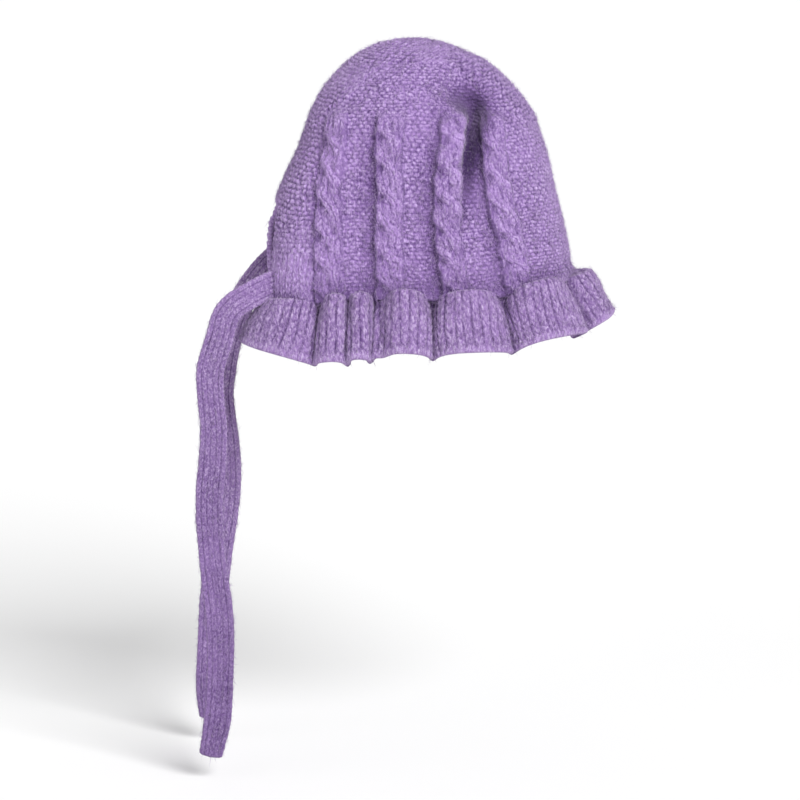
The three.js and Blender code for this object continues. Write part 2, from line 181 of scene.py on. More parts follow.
RUFFLE_ROWS = table(
    "down open swing fall", (0, 0, 0, 0), (0.07, 0.55, 0.03, 0.0), (0.15, 0.92, 0.1, 0.02),
    (0.25, 1.08, 0.19, 0.1), (0.48, 1.12, 0.42, 0.38), (0.76, 1.02, 0.72, 0.71), (1, 0.92, 1, 1),
)

# Centre lines of the ties in metres, from the sewn end to the free end
NEAR_TIE_PATH = (
    (-0.0812, -0.0408, -0.1412), (-0.0876, -0.0432, -0.1432), (-0.0942, -0.0464, -0.1457),
    (-0.1012, -0.0481, -0.1494),
    (-0.1078, -0.0488, -0.1533), (-0.1130, -0.0492, -0.1584), (-0.116, -0.0494, -0.1647),
    (-0.118, -0.0494, -0.1732), (-0.1212, -0.0494, -0.1833), (-0.1239, -0.0494, -0.1927),
    (-0.1244, -0.0492, -0.2034), (-0.1236, -0.0492, -0.216), (-0.1224, -0.0492, -0.2305),
    (-0.1232, -0.049, -0.2507), (-0.125, -0.049, -0.2696), (-0.1252, -0.049, -0.2884),
    (-0.124, -0.049, -0.3073), (-0.1221, -0.049, -0.3262), (-0.1197, -0.049, -0.3463),
    (-0.119, -0.049, -0.3703), (-0.1197, -0.049, -0.3923), (-0.1215, -0.049, -0.4143),
    (-0.1259, -0.049, -0.437),
)
FAR_TIE_PATH = (
    (-0.083, 0.0526, -0.1366), (-0.0868, 0.051, -0.1402), (-0.0925, 0.0486, -0.1452),
    (-0.0982, 0.0474, -0.1517),
    (-0.1036, 0.0475, -0.1595), (-0.1085, 0.048, -0.1684), (-0.1138, 0.0488, -0.1815),
    (-0.1178, 0.049, -0.1956), (-0.1206, 0.049, -0.2145), (-0.1215, 0.049, -0.2302),
    (-0.1187, 0.049, -0.2554), (-0.1175, 0.049, -0.2781), (-0.119, 0.049, -0.3007),
    (-0.1237, 0.049, -0.3309), (-0.1276, 0.049, -0.3624), (-0.1295, 0.049, -0.3939),
    (-0.1304, 0.049, -0.4191), (-0.1292, 0.049, -0.4362),
)


# The studio, in metres
CAMERA_LENS = 217.7
CAMERA_AIM = (-0.00868, 0.0, -0.2216)
CAMERA_LIFT = math.radians(10)
CAMERA_DISTANCE = 3.0
LAMP_DISTANCE = 2.0
SKY_STRENGTH = 0.42
FLOOR_LEVEL = -0.452
FLOOR_REACH = 60.0


def length_setting(name, description, default):
    return bpy.props.FloatProperty(name=name, description=description, default=default, unit="LENGTH")


def colour_setting(name, description, default):
    return bpy.props.FloatVectorProperty(
        name=name, description=description, size=3, subtype="COLOR", default=default, min=0, max=1)


class BonnetSizes(bpy.types.PropertyGroup):
    """How finely the bonnet is knitted."""

    seed_stitch: length_setting("Seed stitch", "Width of a seed stitch", 0.0046)
    seed_row: length_setting("Seed row", "Height of a row of seed stitch", 0.0027)
    purl_stitch: length_setting("Purl stitch", "Width of a stitch between the cables", 0.0042)
    purl_row: length_setting("Purl row", "Height of a row between the cables", 0.0023)
    cable_turn: length_setting("Cable turn", "Height of one crossing of a cable", 0.0182)
    cable_height: length_setting("Cable height", "How far a cable stands out", 0.0034)
    ruffle_stitch: length_setting("Ruffle stitch", "Width of a stitch of the ruffle", 0.0054)
    ruffle_row: length_setting("Ruffle row", "Height of a row of the ruffle", 0.0039)
    tie_stitch: length_setting("Tie stitch", "Width of a stitch of the ties", 0.0035)
    tie_row: length_setting("Tie row", "Height of a row of the ties", 0.0027)
    fibre_length: length_setting("Fibre length", "Length of the loose fibres", 0.0042)


class BonnetColours(bpy.types.PropertyGroup):
    """The colours of the yarn and of the studio."""

    body: colour_setting("Body yarn", "Yarn of the crown and sides", (0.37, 0.235, 0.52))
    ruffle: colour_setting("Ruffle yarn", "Yarn of the ruffle", (0.268, 0.165, 0.381))
    ties: colour_setting("Tie yarn", "Yarn of the ties", (0.266, 0.165, 0.376))
    floor: colour_setting("Floor", "Floor of the studio", (0.93, 0.93, 0.93))


def size(name):
    """One of the knitting's sizes in millimetres."""
    return getattr(bpy.context.scene.bonnet_sizes, name) / TO_METRES


def chosen_colour(name):
    return tuple(getattr(bpy.context.scene.bonnet_colours, name))


# Numbers and smooth functions of them

def read(source, name, at, key="along"):
    """A column of a table at any places, along a smooth curve through its lines."""
    keys, values = source[key], source[name]
    at = np.asarray(at, float)
    last = len(keys) - 1
    i = np.clip(np.searchsorted(keys, at) - 1, 0, last - 1)
    slopes = np.empty(last + 1)
    slopes[1:-1] = (values[2:] - values[:-2]) / (keys[2:] - keys[:-2])
    slopes[0] = (values[1] - values[0]) / (keys[1] - keys[0])
    slopes[-1] = (values[-1] - values[-2]) / (keys[-1] - keys[-2])
    span = keys[i + 1] - keys[i]
    u = np.clip((at - keys[i]) / span, 0, 1)
    return ((2 * u**3 - 3 * u**2 + 1) * values[i] + (u**3 - 2 * u**2 + u) * slopes[i] * span
            + (3 * u**2 - 2 * u**3) * values[i + 1] + (u**3 - u**2) * slopes[i + 1] * span)


def ease(value, low, high):
    share = np.clip((value - low) / (high - low), 0, 1)
    return share * share * (3 - 2 * share)


def mix(first, second, share):
    return first + (second - first) * share


# Large unrelated factors, so that neighbouring whole numbers give unrelated results
SCATTER_FACTORS = (12.9898, 78.233, 43758.5453)


def scatter(first, second):
    """A fixed number from 0 to 1 for each pair of whole numbers."""
    one, other, whole = SCATTER_FACTORS
    value = np.sin(first * one + second * other) * whole
    return value - np.floor(value)


def wander(across, down, size):
    """Irregular numbers from -1 to 1 that change smoothly over a given length."""
    u, v = across / size, down / size
    i, j = np.floor(u), np.floor(v)
    a, b = ease(u - i, 0, 1), ease(v - j, 0, 1)
    upper = mix(scatter(i, j), scatter(i + 1, j), a)
    lower = mix(scatter(i, j + 1), scatter(i + 1, j + 1), a)
    return 2 * mix(upper, lower, b) - 1


def uneven(across, down, layers):
    """A sum of irregular layers, each a row of strength, stretch, shift, fall and size."""
    return sum(strength * wander(across * stretch + shift, down * fall, size)
               for strength, stretch, shift, fall, size in layers)


def wave(place, height, length, start=0.0):
    return height * np.sin(place / length + start)


def window(value, rise, fall):
    """Rises from 0 to 1 over one stretch and falls back to 0 over another."""
    return ease(value, *rise) * (1 - ease(value, *fall))


def spot(*offsets):
    """A soft spot that fades as its offsets, in shares of its size, grow."""
    return np.exp(-sum(offset**2 for offset in offsets))


def run_along(points):
    """The distance along a line of points, from its first one."""
    return np.concatenate(([0], np.cumsum(np.linalg.norm(np.diff(points, axis=0), axis=1))))


def unit(vectors):
    return vectors / np.maximum(np.linalg.norm(vectors, axis=-1, keepdims=True), 1e-12)


# Stitches: each takes millimetres across and down and gives a height from 0 to 1

# How unevenly the yarn is knitted: waves as height, length and start, and layers for uneven()
SWAY_WAVE = (0.6, 11, 0.4)
SWAY = ((1.0, 1, 0, 1, 5.0), (0.8, 1, 0, 1, 13.0))
ROW_WAVE = (0.7, 15, 1.1)
ROW_DRIFT = ((0.8, 1, 300, 1, 4.4), (0.7, 1, 500, 1, 11.0))
FLEECE = ((1.0, 1.6, 0, 1, 1.7), (0.6, 1.3, 90, 0.7, 1.1))
FOOT_EDGE = ((0.06, 1, 0, 1, 7.0),)
STRAND_DRIFT = ((1.2, 1, 40, 0.6, 2.6),)
STRAND_FALL = ((0.9, 1, 0, 1, 3.1),)
CABLE_DRIFT = ((0.9, 1, 0, 1, 6.0),)

# Staggered stitches: how far one may stray, its lowest height and how its two sides round off
BRICK_STRAY = (0.3, 0.26)
BRICK_LOW = 0.66
BRICK_ROUND = (0.6, 0.8)

# V-shaped stitches: the slant and the ridge of a leg, its two flanks, the notch and lowest height
LEG_SLANT = 0.85
LEG_RIDGE = 0.45
LEG_FLANKS = (0.55, 0.9)
LEG_NOTCH = 0.45
VEE_LOW = 0.76
VEE_ROUND = 0.8

# Cables, in shares of the half width or of a turn; the hole is in millimetres
CROSSING_RUN = (0.12, 0.78)
STRAND_SWING = 0.48
STRAND_HALF = 0.62
STRAND_ROUND = 0.4
STRAND_LEVEL = 0.8
STRAND_LIFT = 0.2
STRAND_BAND = 0.66
STRAND_STITCH = 0.84
STRAND_ROWS = 6.5
HOLE_PLACE = 0.66
HOLE_SIZE = (1.7, 2.6)
HOLE_DEPTH = 0.5
HOLE_PAINTED_SHADE = 0.9


def bump(value, power):
    return np.clip(np.cos(math.pi * value), 0, 1) ** power


def bricks(across, down, stitch, row, roundness):
    """Staggered bumps of one stitch each, as on seed stitch and the back of plain knitting."""
    course = np.floor(down / row)
    place = across / stitch + 0.5 * (course % 2)
    column = np.round(place)
    stray, row_stray = BRICK_STRAY
    aside = place - column + stray * (scatter(course, column) - 0.5)
    below = down / row - course - 0.5 + row_stray * (scatter(column, course) - 0.5)
    thick = np.maximum(1 - roundness * (2 * aside) ** 2, 0.2)
    level = mix(BRICK_LOW, 1, scatter(course + 7, column))
    side_power, end_power = BRICK_ROUND
    side = bump(np.clip(aside, -0.5, 0.5), side_power)
    return side * bump(np.clip(below / thick, -0.5, 0.5), end_power) * level


def vees(across, down, stitch, row):
    """Columns of V-shaped stitches."""
    place = across / stitch
    column = np.floor(place)
    leg = np.abs(place - column - 0.5) * 2
    course = down / row - LEG_SLANT * (1 - leg)
    level = mix(VEE_LOW, 1, scatter(np.floor(course), column))
    off = leg - LEG_RIDGE
    inner, outer = LEG_FLANKS
    strand = bump(np.where(off < 0, inner * off, outer * off), VEE_ROUND)
    return strand * mix(LEG_NOTCH, 1, bump(course - np.floor(course) - 0.5, VEE_ROUND)) * level


def rope(across, down, half, turn, start):
    """A cable of two strands side by side; at each crossing the left one goes over to the right."""
    crossing = down / turn + start
    part = crossing - np.floor(crossing)
    swing = 2 * ease(part, *CROSSING_RUN) - 1
    lift = STRAND_LIFT * np.sin(math.pi * part)
    reach, strand = STRAND_SWING * half, STRAND_HALF * half
    over_place = across - swing * reach
    under_place = across + swing * reach
    over = np.clip(1 - (over_place / strand) ** 2, 0, 1) ** STRAND_ROUND * (STRAND_LEVEL + lift)
    under = np.clip(1 - (under_place / strand) ** 2, 0, 1) ** STRAND_ROUND * (STRAND_LEVEL - lift)
    band = STRAND_BAND * np.clip(1 - (across / half) ** 6, 0, 1) ** 0.5
    top = over >= np.maximum(under, band)
    local = np.where(top, over_place, np.where(under >= band, under_place, across))
    loose = local + uneven(across, down, STRAND_DRIFT)
    falling = down - 0.5 * np.abs(local) + uneven(across, down, STRAND_FALL)
    fibre = vees(loose, falling, strand * STRAND_STITCH, turn / STRAND_ROWS)
    aside, below = HOLE_SIZE
    hole = spot((across + HOLE_PLACE * half) / aside, (part - 0.5) * turn / below)
    height = np.maximum(np.maximum(over, under), band)
    # The hole beside each crossing is lower and holds painted shade
    return height * (1 - HOLE_DEPTH * hole), fibre * (1 - HOLE_PAINTED_SHADE * hole)


# The smooth fabric, and the stitches raised on it

# Points from the middle of the face to the widest place, and as many again to the back
OUTLINE_STEPS = 161
HALF_REACHES = (("front", FRONT_REACH), ("back", BACK_REACH), ("side", SIDE_REACH))


def half_outlines(alongs):
    """Half an outline for each row, from the middle of the face to the middle of the back."""
    quarter = (math.pi / 4) * (1 - np.cos(math.pi * np.linspace(0, 1, OUTLINE_STEPS)))
    angle = np.concatenate((quarter, math.pi / 2 + quarter[1:]))
    ahead, aside = np.cos(angle), np.sin(angle)
    front, back, side = (read(SECTIONS, name, alongs)[:, None] * reach for name, reach in HALF_REACHES)
    power = 2 / np.where(ahead > 0, read(SECTIONS, "front_square", alongs)[:, None],
                         read(SECTIONS, "back_square", alongs)[:, None])
    x = np.where(ahead > 0, -front, back) * np.abs(ahead) ** power
    y = side * np.abs(aside) ** power
    steps = np.hypot(np.diff(x, axis=1), np.diff(y, axis=1))
    length = np.concatenate((np.zeros((len(alongs), 1)), np.cumsum(steps, axis=1)), axis=1)
    return x, y, length, front[:, 0], back[:, 0], side[:, 0]


def crossings(wanted, rows, values):
    """For each row, the value at which it reaches a wanted place."""
    return np.array([np.interp(place, row, value) for place, row, value in zip(wanted, rows, values)])


def ring_marks(alongs, outlines):
    """Distances from the middle of the face to the front corner line and the four cables."""
    x, y, length, front, back, side = outlines
    corner = read(LINES, "edge", alongs) * FACE_WIDTH / 2 * side / SIDE_REACH
    marks = {"edge": crossings(corner, y[:, :OUTLINE_STEPS], length[:, :OUTLINE_STEPS])}
    for name, reach in (("first", -front), ("second", -front), ("third", back), ("fourth", back)):
        marks[name] = crossings(read(LINES, name, alongs) * reach, x, length)
    return marks


def fold_in(x, y, along):
    """The fold of the near side: how deep it is, how much painted shade it holds and how far its front edge
    hangs over.
    """
    off = x - read(CREASE_RUN, "place", along)
    steep = read(CREASE_RUN, "steep", along)
    near_part = read(CREASE_RUN, "depth", along) * (1 - ease(y, -CREASE_REACH, CREASE_REACH))
    slit = spot(off / np.where(off < 0, steep, CREASE_SLIT))
    slope = spot(off / np.where(off < 0, steep, CREASE_GENTLE))
    crease = CREASE_DEPTH * near_part * mix(slope, slit, CREASE_SLIT_SHARE)
    fold_painted_shade = ease(near_part * (SLIT_PAINTED_SHADE * slit**SLIT_PAINTED_SHADE_POWER + SLOPE_PAINTED_SHADE * slope), *CREASE_PAINTED_SHADE_RUN)
    edge = spot((off + 2 * steep) / steep) * (CREASE_STEEPEST / steep) ** 2
    return crease, fold_painted_shade, CREASE_OVERHANG * near_part * edge


def make_ring(alongs, face_count, band_count, panel_count):
    """The outside of the crown and sides as rows of points that go once round."""
    alongs = np.asarray(alongs, float)
    outlines = half_outlines(alongs)
    x, y, length = outlines[:3]
    marks = ring_marks(alongs, outlines)
    top_along = np.interp(CABLE_TOP / CROWN_DEPTH, SECTIONS["drop"], SECTIONS["along"])
    top_length = half_outlines(np.array([top_along]))[2][0, -1]
    end = length[:, -1]
    half_cable = CABLE_WIDTH / 2 * np.minimum(end / top_length, 1)
    groove = marks["first"] - half_cable
    borders = (np.zeros_like(end), marks["edge"], groove, end)
    counts = (face_count, band_count, panel_count)
    around = np.concatenate([
        mix(low[:, None], high[:, None], np.linspace(0, 1, count, endpoint=False))
        for low, high, count in zip(borders, borders[1:], counts)] + [end[:, None]], axis=1)
    half_x, half_y = crossings(around, length, x), crossings(around, length, y)
    flip = slice(-2, 0, -1)
    ring_x = np.concatenate((half_x, half_x[:, flip]), axis=1)
    ring_y = np.concatenate((-half_y, half_y[:, flip]), axis=1)
    ring_around = np.concatenate((around, around[:, flip]), axis=1)
    ring_side = np.concatenate((np.full(around.shape[1], NEAR), np.full(around.shape[1] - 2, FAR)))
    along = np.broadcast_to(alongs[:, None], ring_x.shape)
    front_share, back_share = -ring_x / FRONT_REACH, ring_x / BACK_REACH
    rim_shift = (CORNER_DROP * ease(front_share, *CORNER_DROP_REACH)
                 - BACK_RISE * ease(back_share, *BACK_RISE_REACH)) * ease(along, SHIFT_FROM, 1)
    lead = FAR_CORNER_LEAD * ease(front_share, *LEAD_REACH) * ease(along, *LEAD_RUN) * (ring_side > 0)
    crease, fold_painted_shade, overhang = fold_in(ring_x, ring_y, along)
    tilt = math.pi / 2 * (1 - ease(along, 0, CREASE_TURN))
    drop = read(SECTIONS, "drop", along) * CROWN_DEPTH
    point = np.stack((ring_x - lead + overhang, ring_y + crease * np.cos(tilt),
                      WALL - drop - rim_shift - crease * np.sin(tilt)), axis=-1)
    round_step = np.roll(point, -1, axis=1) - np.roll(point, 1, axis=1)
    normal = unit(np.cross(np.gradient(point, axis=0), round_step))
    profile = np.stack((read(SECTIONS, "side", alongs) * SIDE_REACH,
                        read(SECTIONS, "drop", alongs) * CROWN_DEPTH), axis=-1)
    down = profile[0, 0] + run_along(profile)
    # The fold mask is the painted shade of the fold; it also lowers the stitches and keeps fibres away
    return {"point": point, "normal": normal, "around": ring_around, "side": ring_side, "along": along,
            "side_sign": np.where(ring_side > 0, -1.0, 1.0), "fold": fold_painted_shade,
            "down": np.broadcast_to(down[:, None], ring_x.shape), "half_cable": half_cable[:, None],
            "end": end[:, None], "top": top_along, "counts": counts,
            "marks": {name: distance[:, None] for name, distance in marks.items()}}


# Where each cable's crossings start, from the photograph, as shares of a turn
CABLES = (("first", 0.52), ("second", 0.78), ("third", 0.66), ("fourth", 0.4))

# Relief in millimetres and tone in shares: the ground, the cables, then single places such as
# the foot of the band, the fold and the rim. The valley, channel, flank, fold and rim tones are painted
# shade and the band tone is painted light
SEED_LEVEL = (0.5, 1.4)
PURL_LEVEL = 0.9
PURL_TONE = (0.15, 0.85)
VALLEY_PLACE, VALLEY_SPAN = 0.9, 1.9
VALLEY_RUN = (0, 0.9)
VALLEY_PAINTED_SHADE = 0.65
FLEECE_LEVEL = 0.22
FLEECE_TONE = 0.14
BAND_PAINTED_LIGHT = 0.14
FIBRE_LEVEL = 0.9
FLEECE_ON_CABLE = 0.45
CABLE_WAVE = (0.5, 7.3)
CABLE_SHIFTS = (9, 70)
CABLE_EDGE = 1.08
CHANNEL_PLACE = 1.15
CHANNEL_WIDTH = 3.0
CHANNEL_DEPTH = 1.1
CHANNEL_PAINTED_SHADE = 0.72
CHANNEL_FLEECE = (0.75, 0.35)
FOURTH_LOWERED = 0.35
FOURTH_CHANNEL_SHARE = 0.35
FOURTH_CHANNEL_RUN = (0.4, 0.7)
STRAND_LEAST = 0.02
BAND_BORDER = (1.2, 0.2)
SMOOTH_LEVEL, SMOOTH_SHARE = 0.6, 0.9
FOOT_LEVEL = (0.2, 0.7)
# Painted shade on a patch near the top of the fold, on the flank beyond it, in the fold and along the rim
SHADED_SHARE = 0.65
FLANK_PAINTED_SHADE = (0.6, 0.12)
FOLD_PAINTED_SHADE = 0.6
FOLD_PAINTED_SHADE_DROP = (0.1, 0.5)
FOLD_LOWERED = 0.2
RIM_LOWERED, CABLE_END_LOWERED, RIM_PAINTED_SHADE = 0.6, 0.55, 0.55

# Where the foot of the band, the rim, the ends of the cables and the painted shade of rim and fold
# start and end along the rows
FOOT_RUN = (0.7, 0.92)
RIM_RUN = (0.95, 1)
CABLE_END_RUN = (0.955, 1)
RIM_PAINTED_SHADE_RUN = (0.9, 0.965)
FOLD_PAINTED_SHADE_RUN = (0.33, 0.42)

# Stitches of the wedge on the crown and of the foot of the band, as width and row height
WEDGE_STITCH = (4.4, 3.4)
FOOT_STITCH = (4.6, 3.2)
SEED_ROUNDNESS = 0.45
PURL_ROUNDNESS = 0.7
SEED_EDGE = 0.008

# Places on the near side: windows as the rise and the fall, and patches as the middle and the
# half size in x, then along the rows
WEDGE_ACROSS = ((0, 4), (17, 23))
WEDGE_ALONG = ((0.07, 0.1), (0.19, 0.23))
FLANK_ACROSS = ((-1, 1.5), (6, 20))
FLANK_ALONG = (0.42, 0.1)
SMOOTH_PATCH = (-20, 30, 0.28, 0.065)
# A patch of painted shade near the top of the fold
SHADED_PATCH = (27, 17, 0.345, 0.065)


def near_patch(ring, middle, reach, row, rows):
    x = ring["point"][..., 0]
    return spot((x - middle) / reach, (ring["along"] - row) / rows) * (ring["side"] < 0)


def knit_seed(ring, place, rows, band):
    """Seed stitch of the crown and the band, the wedge of V stitches in it and the band's foot."""
    along, down, x = ring["along"], ring["down"], ring["point"][..., 0]
    seed = bricks(place, rows, size("seed_stitch"), size("seed_row"), SEED_ROUNDNESS)
    wedge = window(x, *WEDGE_ACROSS) * window(along, *WEDGE_ALONG) * (ring["side"] < 0)
    seed = mix(seed, vees(place, down, *WEDGE_STITCH), wedge)
    seed = mix(seed, SMOOTH_LEVEL, SMOOTH_SHARE * near_patch(ring, *SMOOTH_PATCH))
    foot = band * ease(along + uneven(ring["around"], down, FOOT_EDGE), *FOOT_RUN)
    base, relief = FOOT_LEVEL
    return mix(seed, base + relief * vees(place, rows, *FOOT_STITCH), foot)


def knit_purl(ring, sway, rows, edges):
    """The purl ground between the cables, and the valleys that it lies in."""
    around, half = ring["around"], ring["half_cable"]
    place = np.zeros_like(around)
    valley = np.zeros_like(around)
    for low, high in zip(edges, edges[1:] + [ring["end"]]):
        inside = (around >= low) & (around < high)
        place = np.where(inside, around - (low + high) / 2, place)
        share = (around - low - half * VALLEY_PLACE) / np.maximum(high - low - half * VALLEY_SPAN, 1)
        between = inside & (around >= edges[1]) & (around < edges[-1])
        valley = np.where(between, ease(share, *VALLEY_RUN), valley)
    valley = valley * ease(ring["along"], ring["top"] - CABLE_FADE, ring["top"] + 4 * CABLE_FADE)
    return bricks(place + sway, rows, size("purl_stitch"), size("purl_row"), PURL_ROUNDNESS), valley


def knit_cable(ring, name, start, height, tone, fleece):
    """Raises one cable on the ground, with the channel along its front edge."""
    around, down, along, fold = ring["around"], ring["down"], ring["along"], ring["fold"]
    half = ring["half_cable"]
    side_part = ease(along, ring["top"] - CABLE_FADE, ring["top"] + CABLE_FADE)
    seam_part = 1 - CABLE_END_LOWERED * ease(along, *CABLE_END_RUN)
    phase, shift = CABLE_SHIFTS
    across = (around - ring["marks"][name]) * ring["side_sign"]
    line = across + wave(down, *CABLE_WAVE, start * phase)
    line = line + uneven(around, down + start * shift, CABLE_DRIFT)
    strand, fibre = rope(line, down, half, size("cable_turn"), start)
    raised = size("cable_height") * strand + FIBRE_LEVEL * fibre + FLEECE_ON_CABLE * fleece
    raised = raised * side_part * seam_part
    channel = spot((line * ring["side_sign"] + half * CHANNEL_PLACE) / CHANNEL_WIDTH)
    base, share = CHANNEL_FLEECE
    channel = channel * (base + share * fleece)
    if name == "fourth":
        raised = raised * (1 - FOURTH_LOWERED * fold)
        channel = channel * FOURTH_CHANNEL_SHARE * (1 - fold) * ease(along, *FOURTH_CHANNEL_RUN)
    cover = (np.abs(line) < half * CABLE_EDGE) & (strand > STRAND_LEAST)
    cover = cover & (raised > height * (1 - side_part * 0.9))
    height = np.where(cover, np.maximum(raised, height * (1 - side_part)), height)
    tone = np.where(cover, mix(tone, fibre * strand, side_part), tone)
    open_part = side_part * ~cover
    height = height - CHANNEL_DEPTH * channel * open_part
    # Painted shade in the channel along the cable's front edge
    return height, tone * (1 - CHANNEL_PAINTED_SHADE * np.clip(channel, 0, 1) * open_part)


def shade_fold(ring, tone):
    """Paints shade into the depth of the fold, onto the flank beyond it and onto a patch near its top."""
    along, fold = ring["along"], ring["fold"]
    tone = tone * (1 - SHADED_SHARE * near_patch(ring, *SHADED_PATCH))
    beyond = ring["point"][..., 0] - read(CREASE_RUN, "place", along)
    row, rows = FLANK_ALONG
    flank = window(beyond, *FLANK_ACROSS) * spot((along - row) / rows) * (ring["side"] < 0)
    share, drop = FLANK_PAINTED_SHADE
    tone = tone * (1 - share * flank) - drop * flank
    return tone * (1 - FOLD_PAINTED_SHADE * fold) - mix(*FOLD_PAINTED_SHADE_DROP, ease(along, *FOLD_PAINTED_SHADE_RUN)) * fold


def knit_body(ring):
    """Height and tone of the seed stitch, the purl ground and the cables on the smooth fabric."""
    around, down, along = ring["around"], ring["down"], ring["along"]
    sway = wave(down, *SWAY_WAVE) + uneven(around, down, SWAY)
    rows = down + wave(around, *ROW_WAVE) + uneven(around, down, ROW_DRIFT)
    fleece = uneven(around, down, FLEECE)
    groove = ring["marks"]["first"] - ring["half_cable"]
    seed_to = read(SEED_REACH, "along", around / ring["end"], key="share")
    start, stop = BAND_BORDER
    band = 1 - ease(around, groove - start, groove - stop)
    seed = np.maximum(1 - ease(along, seed_to - SEED_EDGE, seed_to + SEED_EDGE), band)
    seed_height = knit_seed(ring, around + sway, rows, band)
    edges = [groove] + [ring["marks"][name] for name, _ in CABLES]
    purl_height, valley = knit_purl(ring, sway, rows, edges)
    seed_base, seed_relief = SEED_LEVEL
    height = mix(PURL_LEVEL * purl_height - VALLEY_DEPTH * valley,
                 seed_base + seed_relief * seed_height, seed)
    height = height * (1 - RIM_LOWERED * ease(along, *RIM_RUN)) + FLEECE_LEVEL * fleece
    purl_base, purl_relief = PURL_TONE
    # Painted shade of each cable on the purl ground, deepest in the valley beside the next cable
    purl_tone = (purl_base + purl_relief * purl_height) * (1 - VALLEY_PAINTED_SHADE * valley**2)
    tone = mix(purl_tone, seed_height, seed) + FLEECE_TONE * fleece
    for name, start in CABLES:
        height, tone = knit_cable(ring, name, start, height, tone, fleece)
    # Painted light on the near band, and painted shade along the rim above the ruffle
    tone = tone + BAND_PAINTED_LIGHT * band * (ring["side"] < 0) - RIM_PAINTED_SHADE * tone * ease(along, *RIM_PAINTED_SHADE_RUN)
    return height * (1 - FOLD_LOWERED * ring["fold"]), shade_fold(ring, tone)


# Meshes

# Points closer than this many millimetres are one point
JOIN_WITHIN = 0.002


class Fabric:
    """One piece of knitting, gathered from grids of points that meet edge to edge."""

    def __init__(self):
        self.points, self.quads, self.tones, self.count = [], [], [], 0

    def grid(self, points, tone, keep=None, flip=False):
        rows, columns = points.shape[:2]
        index = self.count + np.arange(rows * columns).reshape(rows, columns)
        corners = (index[:-1, :-1], index[1:, :-1], index[1:, 1:], index[:-1, 1:])
        quads = np.stack(corners[::-1] if flip else corners, axis=-1)
        self.quads.append(quads.reshape(-1, 4) if keep is None else quads[keep])
        self.points.append(points.reshape(-1, 3))
        self.tones.append(np.broadcast_to(tone, (rows, columns)).reshape(-1))
        self.count += rows * columns

    def piece(self, name, material, slot):
        """One mesh of all the grids, joined where their edges meet."""
        points, tones, quads = (np.concatenate(lot) for lot in (self.points, self.tones, self.quads))
        _, first, number = np.unique(np.round(points / JOIN_WITHIN).astype(np.int64), axis=0,
                                     return_index=True, return_inverse=True)
        used, quads = np.unique(number.reshape(-1)[quads], return_inverse=True)
        quads = quads.reshape(-1, 4)
        same = quads == np.roll(quads, -1, axis=1)
        pinched = same.any(axis=1)
        thin = [quad[~double] for quad, double in zip(quads[pinched], same[pinched])]
        thin = [corners for corners in thin if len(corners) == 3]
        loops = np.concatenate([quads[~pinched].reshape(-1)] + thin)
        counts = np.concatenate((np.full((~pinched).sum(), 4), np.full(len(thin), 3)))
        return make_piece(name, points[first[used]], loops, counts, tones[first[used]], material)


def make_piece(name, points, loops, counts, tones, material):
    """A piece of the bonnet from points, the corners of its faces and a tone at each point."""
    mesh = bpy.data.meshes.new(name)
    mesh.vertices.add(len(points))
    mesh.vertices.foreach_set("co", (points * TO_METRES).astype(np.float32).reshape(-1))
    mesh.loops.add(len(loops))
    mesh.loops.foreach_set("vertex_index", loops.astype(np.int32))
    mesh.polygons.add(len(counts))
    starts = np.concatenate(([0], np.cumsum(counts)[:-1]))
    mesh.polygons.foreach_set("loop_start", starts.astype(np.int32))
    mesh.polygons.foreach_set("use_smooth", np.ones(len(counts), bool))
    mesh.update(calc_edges=True)
    mesh.validate()
    # The tone is high on raised stitches and low in gaps, holes, channels, valleys and folds, where the
    # finish paints shade
    tone = mesh.attributes.new("tone", "FLOAT", "POINT")
    tone.data.foreach_set("value", tones.astype(np.float32))
    mesh.materials.append(material)
    piece = bpy.data.objects.new(name, mesh)
    bpy.context.scene.collection.objects.link(piece)
    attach(piece, "root")
    return piece


def rolled_edge(fabric, outer, inner, outward, depth, steps, tone):
    """Closes the thickness of the fabric with a rounded strip from its outside to its inside."""
    turn = np.linspace(0, math.pi, steps)[:, None, None]
    middle = (outer + inner) / 2
    fabric.grid(middle + (outer - middle) * np.cos(turn) + outward * depth * np.sin(turn), tone)


# Finishes

class Wire:
    """A value or colour in a finish; sums and products of values become Math nodes."""

    def __init__(self, finish, socket):
        self.finish, self.socket = finish, socket

    def _math(self, operation, first, second):
        node = self.finish.node("ShaderNodeMath", {"operation": operation}, {0: first, 1: second})
        return Wire(self.finish, node.outputs[0])

    def __add__(self, other):
        return self._math("ADD", self, other)

    def __sub__(self, other):
        return self._math("SUBTRACT", self, other)

    def __rsub__(self, other):
        return self._math("SUBTRACT", other, self)

    def __mul__(self, other):
        return self._math("MULTIPLY", self, other)

    __radd__ = __add__
    __rmul__ = __mul__


